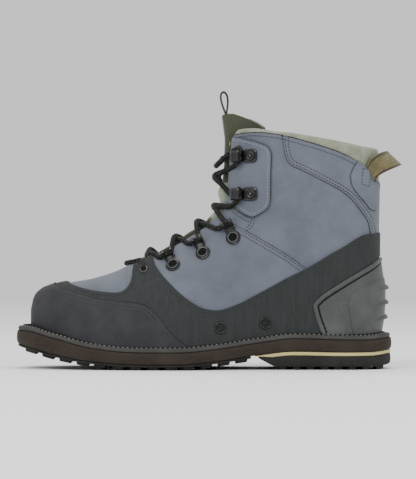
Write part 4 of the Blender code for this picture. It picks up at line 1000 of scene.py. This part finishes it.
for label, first, last in (("front", 0.16, 0.317), ("top", 0.3665, 0.965)):
    sewn(f"foxing_{label}_stitches", both_sides(part_of(top_line, first, last), OVERLAY, [EDGE_SEAM]),
         black_thread)
tab_seam = outline((0.9095, 0.462), (0.914, 0.425), (0.922, 0.372), (0.928, 0.335))
# Painted shade: a dark cord along the foxing tab's rear seam.
edge_cord("foxing_rear_seam", both_sides(tab_seam, OVERLAY), edge_painted_shade, 0.0012, 0.0010)

# Toe cap
# A moulded rubber bumper over the toes, 2 mm thick, matte and slightly pebbled. It is cemented on the
# upper, butted against the foxing and sewn with two rows, and its top edge is rounded off.
TOE_CAP_WALL = 0.0021
cap_rubber = moulded_rubber("cap_dark_rubber", (29, 31, 34), (50, 50, 54), 0.62, 0.0006, 0.00008)
cap_outline = np.concatenate([cap_line, [[0.46, -0.1, -0.1], [-0.1, -0.1, 0.26]]], axis=1)
panel("toe_cap_bumper", cap_outline, (0, 9), GAP, TOE_CAP_WALL, cap_rubber, ["toe_cap"],
      rounded=0.0008)
sewn("toe_cap_stitches", both_sides(part_of(cap_line, 0.135, 0.425), GAP + TOE_CAP_WALL, (-0.0022, -0.0050)),
     waxed_thread("cap_grey_thread", (42, 43, 45), (62, 63, 65)))

# Heel counter
# A stiff moulded cup round the heel, cemented over the foxing's end. It has a sunk face, a raised rim,
# and three short ridges across the back to kick the boot off with.
COUNTER_WALL, SPUR_STAND, SPUR_HEIGHT, SPUR_TURN, SPUR_DROP = 0.0024, 0.0042, 0.0065, 1.25, -0.03
RIM_WIDTH, RIM_HEIGHT, GROOVE_WIDTH, GROOVE_DEPTH, GROOVE_AT = 0.0036, 0.0009, 0.0013, 0.0009, 0.0044
SPUR_RISES, STEP_HEIGHT, STEP_WIDTH = (0.226, 0.153, 0.080), 0.0007, 0.0016
counter_rubber = moulded_rubber("counter_satin_rubber", (54, 56, 56), (76, 78, 78), 0.45, 0.0006, 0.00004)
counter_step = outline((1.06, 0.27), (0.965, 0.262), (0.921, 0.235), (0.886, 0.19), (0.88, 0.15),
                       (0.886, 0.08), (0.896, -0.02))


def from_line(point, line):
    """Distance in the side view from points to a line, positive to the left of it."""
    at = seen(point)[:, None]
    knots = np.stack([to_x(line[0]), line[1] * UPPER_HEIGHT], axis=-1)
    start, step = knots[:-1], np.diff(knots, axis=0)
    share = np.clip(((at - start) * step).sum(axis=-1) / (step ** 2).sum(axis=-1), 0, 1)
    away = at - (start + share[..., None] * step)
    gap = np.linalg.norm(away, axis=-1)
    nearest = gap.argmin(axis=1)
    each = np.arange(len(nearest))
    turn = step[nearest, 0] * away[each, nearest, 1] - step[nearest, 1] * away[each, nearest, 0]
    return gap[each, nearest] * np.sign(turn)


def counter_relief(point):
    """The rim is half a sine wide and high, a groove follows it, and the middle stands up a step."""
    depth = np.abs(from_line(point, rear_line))
    rim = RIM_HEIGHT * np.sin(math.pi * np.clip(depth / RIM_WIDTH, 0, 1)) ** 0.6
    groove = GROOVE_DEPTH * np.sin(math.pi * np.clip((depth - RIM_WIDTH) / GROOVE_WIDTH, 0, 1))
    return rim - groove + STEP_HEIGHT * np.clip(0.5 + from_line(point, counter_step) / STEP_WIDTH, 0, 1)


counter_outline = np.concatenate([rear_line, [[0.811, 1.3, 1.3], [-0.1, -0.1, 0.405]]], axis=1)
panel("heel_counter_cup", counter_outline, (11, 17), GAP, COUNTER_WALL, counter_rubber,
      ["heel_counter"], columns=90, relief=counter_relief)


def kick_ridge(rise):
    """One ridge round the back of the counter: a wedge section of seven points at each turn from the
    back, whose height and reach both fade to nothing at its two ends."""
    share = np.linspace(-1, 1, 81)
    fade = np.cos(share * math.pi / 2 * 0.985) ** 0.7
    z = height_at(0.98, rise + SPUR_DROP * share ** 2)
    half = SPUR_HEIGHT * (0.2 + 0.3 * fade)
    turn = share * SPUR_TURN
    rows = []
    for level, reach in ((1.0, -1.5), (0.75, 0.15), (0.2, 0.75), (-0.35, 1.0), (-0.62, 0.93), (-0.85, 0.45),
                         (-1.0, -1.5)):
        height = z + half * level
        back = shape(BACK, "rise", "along", (height - feather(0.97)) / UPPER_HEIGHT)
        middle = to_x(back - HEEL_ROUND * 0.55)
        away = np.linspace(0.010, 0.085, 600)
        x, y = middle[:, None] + np.cos(turn)[:, None] * away, np.sin(turn)[:, None] * away
        clear = np.abs(y) - upper_half_width(to_along(x), height[:, None])
        skin_at = away[(clear > -0.0000001).argmax(axis=1)]
        stand = GAP + COUNTER_WALL * 0.75 + np.where(reach < 0, -0.0008, reach * SPUR_STAND * fade)
        rows.append(np.stack([middle + np.cos(turn) * (skin_at + stand), np.sin(turn) * (skin_at + stand),
                              height], axis=-1))
    grid = np.stack(rows, axis=1)
    return closed_ends(grid, grid.mean(axis=1))


# Painted shade: a near-black cord laid in the counter's moulded groove.
groove_line = part_of(beside(rear_line, GROOVE_AT), top=0.40)
edge_cord("heel_counter_groove_painted_shade", both_sides(groove_line, GAP + COUNTER_WALL - 0.0003), painted_shade_rubber,
          0.0014, 0.0012)
edge_cord("heel_counter_step", both_sides(part_of(counter_step, high=1.0), GAP + COUNTER_WALL + 0.0002),
          counter_rubber, 0.0012, 0.0012)
piece("heel_counter_ridges", np.stack([kick_ridge(rise) for rise in SPUR_RISES]), counter_rubber)

# Heel pull
# A loop of ribbed tan webbing behind the collar, 17 mm wide and 2.2 mm thick. Both ends are tucked under
# a small leather patch on each side and sewn down with a rectangle of stitches.
WEBBING_WIDTH, WEBBING_THICKNESS, PULL_HALF_SPAN, PULL_STAND = 0.017, 0.0022, 0.030, 0.0105
PULL_ANCHOR_RISE, PULL_LIFT, WEBBING_RIBS = 0.775, 0.085, 6


def strap(centre, half, thick, across=(0.0, 1.0, 0.0), ribs=0, rib_height=0.0):
    """A flat strap carried along a path: its section is a rectangle with rounded edges, half wide to each
    side along across, and ribs stand on both faces as a cosine. Both ends are closed."""
    across = unit(np.broadcast_to(across, centre.shape))
    out = unit(np.cross(np.gradient(centre, axis=0), across))
    run = np.linspace(-0.94, 0.94, 8 * ribs + 5)
    top = 1 + 2 * rib_height * (np.cos(math.pi * (run + 1) * ribs) - 1) / np.mean(thick)
    side = np.concatenate([run, [1, 1], run[::-1], [-1, -1]])
    level = np.concatenate([top, [0.4, -0.4], -top[::-1], [-0.4, 0.4]]) / 2
    half, thick = (np.broadcast_to(np.asarray(size, float), len(centre))[:, None] for size in (half, thick))
    return closed_ends(centre[:, None] + across[:, None] * (half * side)[..., None]
                       + out[:, None] * (thick * level)[..., None], centre)


def woven_tape(name, dark, light, rib=0.0013):
    """Woven tape: a fine twill across ribs that run along it, a little dirty."""
    finish, here = blank_finish(name)
    twill = texture(finish, "TexWave", "Fac", {"Scale": 0.314 / rib, "Distortion": 0.6, "Vector": here},
                    bands_direction="DIAGONAL")
    broad = between(finish, grain(finish, here, 0.006, 3.0), dark, light)
    fibrous = blended(finish, "SOFT_LIGHT", 0.6, broad, grain(finish, here, 0.0005))
    return finished(finish, blended(finish, "MULTIPLY", 0.4, fibrous, twill), raised(finish, twill, 0.0002),
                    0.85, 0.15)


tan_webbing = woven_tape("pull_tan_webbing", (96, 88, 58), (124, 115, 80))
dark_selvedge = woven_tape("pull_dark_selvedge", (52, 48, 36), (74, 68, 52))
turn = np.linspace(-math.pi / 2, math.pi / 2, 91)
pull_rise = PULL_ANCHOR_RISE + PULL_LIFT * np.cos(turn) ** 0.8
pull_y = PULL_HALF_SPAN * np.sin(turn)
pull_back = shape(BACK, "rise", "along", pull_rise)
round_share = 1 - (1 - np.abs(pull_y / (SHAFT_WIDTH / 2)) ** 2.1) ** (1 / 2.1)
pull_skin = np.stack([to_x(pull_back - HEEL_ROUND * round_share), pull_y, height_at(pull_back, pull_rise)],
                     axis=-1)
pull_ahead = np.gradient(pull_skin, axis=0)
pull_out = unit(np.stack([pull_ahead[:, 1], -pull_ahead[:, 0], 0 * pull_y], axis=-1))
pull_stand = WEBBING_THICKNESS / 2 + 2 * GAP + PULL_STAND * np.cos(turn) ** 1.5
pull_lean = np.broadcast_to([0.72, 0.0, -0.69], pull_out.shape)
pull_across = pull_lean - pull_out * ((pull_lean * pull_out).sum(axis=1) * np.sin(turn) ** 2)[:, None]
pull_centre = pull_skin + pull_out * pull_stand[:, None]
pull_grid = strap(pull_centre, WEBBING_WIDTH / 2, WEBBING_THICKNESS, pull_across, WEBBING_RIBS, 0.00022)
piece("heel_pull_webbing", pull_grid, tan_webbing, ["heel_pull"])
selvedges = [strap(pull_centre + unit(pull_across) * (sign * WEBBING_WIDTH / 2 * 0.86) + pull_out * 0.00115,
                   0.0007, 0.0004, pull_across) for sign in (-1, 1)]
piece("heel_pull_edge_lines", np.stack(selvedges), dark_selvedge)
anchor_line = outline((0.915, 0.862), (0.897, 0.822), (0.886, 0.771), (0.888, 0.738), (0.901, 0.693),
                      (0.924, 0.645), (0.938, 0.612), (0.9505, 0.604), (0.951, 0.66), (0.951, 0.8),
                      (0.948, 0.862))
panel("heel_pull_anchor", anchor_line, (12.5, 17), PANEL_WALL + GAP, ANCHOR_WALL, upper_leather)
anchor_front = (anchor_line[0][:57], anchor_line[1][:57])
# Painted shade: a dark cord along the front edge of the pull's leather patch.
edge_cord("heel_pull_anchor_edge", both_sides(anchor_front, PANEL_WALL + ANCHOR_WALL), edge_painted_shade)
anchor_box = np.array([(0.917, 0.812), (0.938, 0.8), (0.934, 0.722), (0.913, 0.734), (0.917, 0.812)])
box_line = [np.interp(np.linspace(0, 4, 81), np.arange(5.0), column) for column in anchor_box.T]
sewn("heel_pull_anchor_stitches", both_sides(box_line, PANEL_WALL + GAP + ANCHOR_WALL), dark_thread)

# Tongue pull
# A thin dark ribbon folded into a drop-shaped loop, 8 mm wide, with both ends sewn to the tongue's top.
RIBBON_WIDTH, RIBBON_THICKNESS, DROP_HEIGHT, DROP_WIDTH, DROP_LEAN = 0.008, 0.0017, 0.0205, 0.0042, 0.0024
tongue_crest = tongue_points[-1, MIDDLE]
drop = np.linspace(0.0, 2 * math.pi, 61)
up = (1 - np.cos(drop)) / 2
drop_x = tongue_crest[0] + 0.0040 + DROP_WIDTH * np.sin(drop) * np.sin(drop / 2) ** 1.6 - DROP_LEAN * up
drop_path = np.stack([drop_x, 0 * drop, tongue_crest[2] + 0.0004 + DROP_HEIGHT * up], axis=-1)
ribbon = strap(drop_path, RIBBON_WIDTH / 2 * (0.55 + 0.45 * np.sin(drop / 2)), RIBBON_THICKNESS, ribs=3,
               rib_height=0.00006)
piece("tongue_pull_ribbon", ribbon, woven_tape("tongue_pull_ribbon", (44, 45, 34), (70, 71, 54), 0.0008),
      ["tongue_pull"])

# Eyelets, lace loops, speed hooks and drain vents
# Steel fittings in black enamel, riveted through the leather in pairs up the throat: a ring in the foxing
# tab, three loops, two hooks, and lower down two vents with a mesh behind them to let water out.
PLATE_THICKNESS, LOOP_ROUND, NECK_HALF, FACE_ROUND, FACE_NECK = 0.0012, 0.0063, 0.0043, 0.0050, 0.0031
HOOK_HALF, HOOK_BACK, PRONG_APART = 0.0057, 0.0059, 0.0036


def turned(profile, around=28):
    """A profile of radius and height in millimetres, turned once round its own axis; its ends lie on the
    axis or meet."""
    radius, height = np.array(profile, float).T[..., None] / 1000
    angle = np.linspace(0, 2 * math.pi, around + 1)[:-1]
    return np.stack(np.broadcast_arrays(radius * np.cos(angle), radius * np.sin(angle), height), axis=-1)


def ring_profile(radius, wire, height):
    """The profile of a round wire bent into a ring: a circle that starts and ends at its inner side."""
    angle = np.linspace(math.pi, 3 * math.pi, 13)
    return np.stack([radius + wire * np.cos(angle), height + wire * np.sin(angle)], axis=-1)


def seats(places, heading, stand):
    """Places on both sides of the boot, with directions along the heading, beside it, and out."""
    found = []
    for side in (-1, 1):
        here, out = on_last(np.transpose(places), side)
        forward = np.broadcast_to([heading[0], 0.0, heading[1]], here.shape)
        forward = unit(forward - out * (forward * out).sum(axis=-1, keepdims=True))
        found += [(p + o * stand, f, np.cross(o, f), o) for p, f, o in zip(here, forward, out)]
    return found


def fitting(name, points, frames, finish, nodes=()):
    """One finish's share of a kind of fitting: a copy of its points on every seat."""
    copies = [origin + points[..., :1] * forward + points[..., 1:2] * sideways + points[..., 2:] * out
              for origin, forward, sideways, out in frames]
    piece(name, np.stack(copies), finish, nodes)


def named(kind, count):
    return [f"{kind}_{number}_{side}" for number in range(1, count + 1) for side in ("lateral", "medial")]


def worn_enamel(name, dark, light, roughness, metallic, coat=0.3):
    """Enamel or plating with fine scratches, duller where it is scuffed."""
    finish, here = blank_finish(name)
    scratches = grain(finish, stretched(finish, here, (1.0, 1.0, 4.0)), 0.0012, 6.0, 0.75)
    return finished(finish, between(finish, scratches, dark, light, 0.5, 0.78),
                    raised(finish, scratches, 0.00004), roughness, coat=coat, metallic=metallic)


def open_spline(points, steps):
    """A curve through points, whose first and last stretch run straight out."""
    before, after = 2 * points[:1] - points[1:2], 2 * points[-1:] - points[-2:-1]
    return spline(np.concatenate([before, points, after]), steps)


def plate_path(points, steps=10):
    """A path in a fitting's own side view, bent smoothly through a few points in millimetres."""
    points = np.array(points) / 1000
    curve = np.concatenate([open_spline(points, steps), points[-1:]])
    return np.stack([curve[:, 0], 0 * curve[:, 0], curve[:, 1]], axis=-1)


def keyhole(path, radius, neck, neck_from):
    """Half-widths of a plate along its path: a disc, then a neck that is at least so wide."""
    disc = np.sqrt(np.clip(radius ** 2 - path[:, 0] ** 2, 0, 1))
    return np.where(path[:, 0] < neck_from, disc, np.maximum(disc, neck))


black_enamel = worn_enamel("fitting_black_enamel", (5, 5, 6), (26, 26, 27), 0.3, 0.0, 0.5)
grey_plating = worn_enamel("fitting_grey_plating", (30, 30, 28), (66, 66, 60), 0.45, 0.5)
# Bright plating for the rings, and a painted highlight as the glint on each hook's rivet.
plating_and_painted_glint = worn_enamel("fitting_plating_and_painted_glint", (74, 75, 75), (136, 136, 134), 0.3, 0.9)
# Painted shade: a near-black finish for the shade inside the eyelets' holes and the loops' hollow rivets.
hollow_painted_shade = worn_enamel("fitting_hollow_painted_shade", (2, 2, 2), (5, 5, 5), 0.8, 0.0, 0.0)
grip_steel = worn_enamel("fitting_grip_steel", (34, 35, 36), (92, 92, 94), 0.45, 0.3)
eyelet_frames = seats([(0.343, 0.369)], (-0.4, 0.9), OVERLAY)
loop_frames = seats([(0.42, 0.396), (0.499, 0.447), (0.579, 0.503)], (-0.43, 0.9), PANEL_WALL + 0.0001)
hook_frames = seats([(0.628, 0.702), (0.628, 0.888)], (-1.0, 0.0), OVERLAY + 0.0001)
vent_frames = seats([(0.542, 0.078), (0.662, 0.066)], (1.0, 0.0), OVERLAY)

eyelet_ring = turned([(1.9, -1), (2, 0.7), (2.6, 1.3), (3.4, 1.1), (4, 0), (3.6, -0.6), (1.9, -1)])
eyelet_hole = turned([(0, -1.2), (2.1, -1.2), (2.1, 0.1), (0, 0.1)])
fitting("eyelet_rings", eyelet_ring, eyelet_frames, plating_and_painted_glint, named("eyelet", 1))
# Painted shade: a near-black disc fills each eyelet's hole.
fitting("eyelet_holes", eyelet_hole, eyelet_frames, hollow_painted_shade)

loop_path = plate_path([(-6.2, 0.6), (-3, 0.7), (0, 0.7), (4, 0.8), (10, 1.4)])
loop_plate = strap(loop_path, keyhole(loop_path, LOOP_ROUND, NECK_HALF, 0.0022), PLATE_THICKNESS)
face_path = plate_path([(-5, 1.4), (-2, 1.4), (0, 1.4), (4, 1.5), (10.6, 2.6)])
loop_face = strap(face_path, keyhole(face_path, FACE_ROUND, FACE_NECK, 0.0020), 0.0007)
loop_rivet = turned([(0, 1.7), (3.7, 1.7), (3.7, 2), (3.1, 2.1), (2.4, 1.8), (1.2, 1.8), (0, 1.9)])
prong = plate_path([(7.5, 2), (10.5, 2.1), (13.2, 3), (14.4, 5.5), (12.8, 7.8), (10.2, 7.4)])
prongs = np.stack([strap(prong + [0, side, 0], 0.0013, 0.0014) for side in (-PRONG_APART, PRONG_APART)])
fitting("lace_loop_plates", loop_plate, loop_frames, black_enamel, named("lace_loop", 3))
fitting("lace_loop_faces", loop_face, loop_frames, grey_plating)
fitting("lace_loop_rings", turned(ring_profile(4.2, 0.5, 1.9)), loop_frames, plating_and_painted_glint)
# Painted shade: the near-black rivet heads inside the loops' rings.
fitting("lace_loop_rivets", loop_rivet, loop_frames, hollow_painted_shade)
fitting("lace_loop_prongs", prongs, loop_frames, black_enamel)

hook_path = plate_path([(-5.8, 0.7), (-3, 0.7), (4, 0.7), (12, 0.8), (15.8, 1.4), (17.2, 3.6), (16.4, 6),
                        (14, 7.1), (10.5, 7.3), (8.2, 7)])
squarish = HOOK_HALF * np.clip(1 - (hook_path[:, 0] / HOOK_BACK) ** 4, 0, 1) ** 0.25
narrowed = HOOK_HALF - 0.0009 * ramp(hook_path[:, 0], 0.004, 0.008)
hook_plate = strap(hook_path, np.where(hook_path[:, 0] < 0, squarish, narrowed), PLATE_THICKNESS)
hook_rivet = turned([(0, 2.2), (1.2, 2.2), (2.2, 1.9), (3, 2.5), (3.8, 2.4), (4.4, 1.2), (0, 1)])
# Painted highlight: a small bright dome on each hook's rivet stands for a glint.
hook_glint = turned([(0, 3), (0.8, 2.9), (1.4, 2.4), (0, 1.6)])
grips = [strap(plate_path([(at, 7.8), (at + 0.6, 8), (at + 1.2, 7.8)], 3), 0.0040, 0.0006)
         for at in 9 + 1.7 * np.arange(4)]
fitting("speed_hook_plates", hook_plate, hook_frames, black_enamel, named("speed_hook", 2))
fitting("speed_hook_rivets", hook_rivet, hook_frames, black_enamel)
fitting("speed_hook_glints", hook_glint, hook_frames, plating_and_painted_glint)
fitting("speed_hook_grips", np.stack(grips), hook_frames, grip_steel)

vent_ring = turned(ring_profile(4.5, 0.9, 0.2))
vent_well = turned([(0, -0.4), (4.2, -0.4), (4.2, 0.2), (0, 0.1)])
wires, wire_up = [], np.tile([0.0, 0.0, 1.0], (9, 1))
for order, start in (([0, 1, 2], 0.0), ([1, 0, 2], math.pi)):
    weave = 0.00035 + 0.0002 * np.cos(np.arange(9) * math.pi + start)
    for at in np.linspace(-0.0030, 0.0030, 6):
        reach = np.sqrt(0.0043 ** 2 - at ** 2)
        wire = np.stack([np.linspace(-reach, reach, 9), np.full(9, at), weave], axis=-1)
        wires.append(carried(wire[:, order], wire_up, 0.0005, 0.0004, 6))
fitting("drain_vent_rings", vent_ring, vent_frames, black_enamel, named("drain_vent", 2))
fitting("drain_vent_wells", vent_well, vent_frames, foxing_cloth)
fitting("drain_vent_mesh", np.stack(wires), vent_frames, black_enamel)

# Lace
# One braided cord 4.5 mm thick, near-black with olive flecks. It lies as a bar over the first pair of
# holes, comes up under the leather, crosses from side to side through the loops and behind the hooks,
# and is twisted once in front at the top; its ends are tucked away behind the top hooks.
LACE_DIAMETER, LACE_ARCH, LACE_STAND, BRAID_STRANDS, BRAID_PITCH = 0.0045, 0.003, 0.0016, 3, 0.0062
BAR_BOW, BAR_HALF_WIDTH, PULLED_DOWN = 0.62, 0.0175, (1.4, 1.5, 2.5, 2.7, 1.5)
LOOP_WAY, HOOK_WAY = (0.0119, 0.0042, 0.0022), (0.0098, 0.0040, 0.0040)


def over_tongue(rows, widths, stand):
    """Places over the closed last at these sections and signed widths, stood off it by so much."""
    values = section_values(rows)
    angle, side = angle_at_width(values, np.abs(widths)), np.where(widths < 0, -1.0, 1.0)
    here = skin_point(rows, angle, 0 * rows, side)
    by_row = (skin_point(np.minimum(rows + 0.05, COLLAR_ROW), angle, 0 * rows, side)
              - skin_point(rows - 0.05, angle, 0 * rows, side))
    by_angle = (skin_point(rows, angle + 0.02, 0 * rows, side) - here) * side[:, None]
    return list(here + unit(np.cross(by_row, by_angle)) * np.asarray(stand)[:, None])


def throat_row(point):
    """The section whose throat edge lies nearest a place in the side view."""
    rows = np.linspace(THROAT_ROW, COLLAR_ROW, 221)
    edge = upper_point(rows, 0 * rows, 1)
    return rows[np.hypot(edge[:, 0] - point[0], edge[:, 2] - point[2]).argmin()]


def braided(points, around=24):
    """A braided cord: a round section whose radius swells where the two ways of strands cross, as the
    product of two sines of turn and run. Returns its grid and the swelling as a value from 0 to 1."""
    curve = open_spline(np.array(points), 24)
    length = run_along(curve)
    run = np.arange(0, length[-1], 0.00042)
    path = read_off(curve, length, run)
    forward = unit(np.gradient(path, axis=0))
    first = unit(np.cross(forward, np.array([0.0, 0.3, 1.0])))
    second = np.cross(forward, first)
    angle = np.linspace(0, 2 * math.pi, around + 1)[:-1]
    phase = 2 * math.pi * run[:, None] / BRAID_PITCH
    swelling = 0.5 + 0.5 * np.sin(BRAID_STRANDS * angle + phase) * np.sin(BRAID_STRANDS * angle - phase)
    radius = LACE_DIAMETER / 2 * (0.93 + 0.12 * swelling)
    grid = (path[:, None] + first[:, None] * (radius * np.cos(angle))[..., None]
            + second[:, None] * (radius * np.sin(angle))[..., None])
    return closed_ends(grid, path), np.concatenate([swelling[:1], swelling, swelling[-1:]])


def braided_cord(name):
    """Near-black braid, with painted shade between its strands and olive and grey flecks woven in."""
    finish, here = blank_finish(name)
    swelling = texture(finish, "Attribute", "Fac", {}, attribute_name="swelling")
    fibre = grain(finish, here, 0.0004)
    flecks = between(finish, grain(finish, here, 0.0016, 2.0, 0.5), (0, 0, 0), (255, 255, 255), 0.60, 0.66)
    # Painted shade: strand and fleck colours run from darkest in the dips between strands to lighter on the
    # crests.
    strand = between(finish, swelling, (3, 3, 4), (24, 26, 28), 0.3, 0.95)
    olive = between(finish, swelling, (24, 24, 16), (92, 92, 64), 0.25, 0.85)
    colour = blended(finish, "SOFT_LIGHT", 0.5, blended(finish, "MIX", flecks, strand, olive), fibre)
    return finished(finish, colour, raised(finish, fibre, 0.00015), 0.75, 0.04)


def fitting_pass(frame, reach, height, drop):
    """The three places where the cord runs through a fitting, lowest first."""
    origin, forward, sideways, out = frame
    heart = origin + forward * reach + out * height
    up = sideways * np.sign(sideways[2] - 0.3 * sideways[0])
    return [heart - up * drop, heart, heart + up * drop]


pairs = [(frames[k], frames[k + len(frames) // 2]) for frames in (loop_frames, hook_frames)
         for k in range(len(frames) // 2)]
ways = [LOOP_WAY] * 3 + [HOOK_WAY] * 2
eyelet_row = throat_row(eyelet_frames[0][0])
rows_at = [eyelet_row] + [throat_row(pair[0][0] + pair[0][1] * way[0]) for pair, way in zip(pairs, ways)]
fitting_width = [abs(pair[0][0][1]) for pair in pairs]


def crossing(low, high, pull_down, from_side, over, arch, low_width, high_width):
    """Places of one strand on its way over the tongue, from one side's fitting to the other's. A pull_down
    over 1 brings its middle nearer to the lower fitting."""
    share = np.array([0.12, 0.3, 0.42, 0.5, 0.58, 0.7, 0.88])
    rows = low + (high - low) * share ** pull_down
    widths = from_side * (low_width + (-high_width - low_width) * share)
    bow = np.sin(math.pi * share)
    return over_tongue(rows, widths, LACE_STAND + arch * bow ** 2 + over * bow ** 4)


bar_share = np.linspace(-1, 1, 9)
bar = over_tongue(eyelet_row - BAR_BOW * (1 - bar_share ** 2), bar_share * BAR_HALF_WIDTH,
                  np.full(9, LACE_STAND + 0.0004))
dive = [[origin - out * 0.002, origin + out * 0.0022] for origin, _, _, out in eyelet_frames]
ropes = [dive[0] + bar + dive[1][::-1]]
for side, lift in ((-1, 0.0), (1, 1.0)):
    points = over_tongue(np.full(2, eyelet_row + 0.2), side * np.array([0.0135, 0.0120]), [-0.0025, 0.001])
    for number, (pair, way) in enumerate(zip(pairs, ways)):
        arch = LACE_ARCH if number > 3 else 0.0004
        over = (lift if number % 2 else 1 - lift) * LACE_DIAMETER * 0.8
        low_width = fitting_width[number - 1] - 0.006 if number else 0.010
        points += crossing(rows_at[number] + 0.16, rows_at[number + 1] - 0.16, PULLED_DOWN[number], side,
                           over, arch, low_width, fitting_width[number] - 0.006)
        side = -side
        points += fitting_pass(pair[0] if side < 0 else pair[1], *way)
    share = np.array([0.08, 0.2, 0.34, 0.44, 0.5, 0.56, 0.66, 0.8, 0.92])
    swing_up = np.sin(math.pi * share)
    rows = rows_at[-1] + 0.10 + 0.40 * lift - (0.35 + 1.00 * lift) * swing_up ** 2
    points += over_tongue(rows, side * (fitting_width[-1] - 0.004) * (1 - 2 * share),
                          0.0018 + 0.0052 * lift * swing_up)
    ropes.append(points + fitting_pass(pairs[-1][0] if side > 0 else pairs[-1][1], *HOOK_WAY)[::-1][:2])
lace_finish = braided_cord("lace_black_braid")
for name, points, nodes in zip(("lace_bottom_bar", "lace_strand_1", "lace_strand_2"), ropes, (
        ["lace_bar"], ["lace_crossing_1", "lace_crossing_2", "lace_crossing_3"],
        ["lace_crossing_4", "lace_crossing_5"])):
    cord, swelling = braided(points)
    piece(name, cord, lace_finish, nodes, (("swelling", swelling),))

# Floor and light
# The boot stands on a plain pale floor, with a broad soft light above it on each side of the camera.
floor_mesh = grid_mesh("floor", np.array([[[-3, -3, -0.0003], [3, -3, -0.0003]],
                                          [[-3, 3, -0.0003], [3, 3, -0.0003]]], float), wrap=False)
floor_finish = blank_finish("pale_floor")[0]
fill(floor_finish, floor_finish.node_tree.nodes["Principled BSDF"], {
    "Base Color": (0.95, 0.95, 0.95, 1), "Roughness": 0.9, "Specular IOR Level": 0.2})
floor = bpy.data.objects.new("floor", floor_mesh)
bpy.context.scene.collection.objects.link(floor)
floor_mesh.materials.append(floor_finish)
world = bpy.data.worlds.new("pale_room")
bpy.context.scene.world = world
world.use_nodes = True
room = world.node_tree.nodes["Background"]
room.inputs["Color"].default_value, room.inputs["Strength"].default_value = (1, 1, 1, 1), 0.9
for name, spot, size, power in (("key", (-1.0, -1.6, 1.7), 1.4, 30), ("fill", (1.3, -1.5, 1.0), 1.4, 14),
                                ("top", (0.0, 0.4, 2.0), 1.6, 18)):
    lamp = bpy.data.objects.new(name, bpy.data.lights.new(name, "AREA"))
    bpy.context.scene.collection.objects.link(lamp)
    lamp.location = spot
    lamp.rotation_euler = (Vector((-0.1, 0, 0.1)) - Vector(spot)).to_track_quat("-Z", "Y").to_euler()
    lamp.data.size, lamp.data.energy = size, power
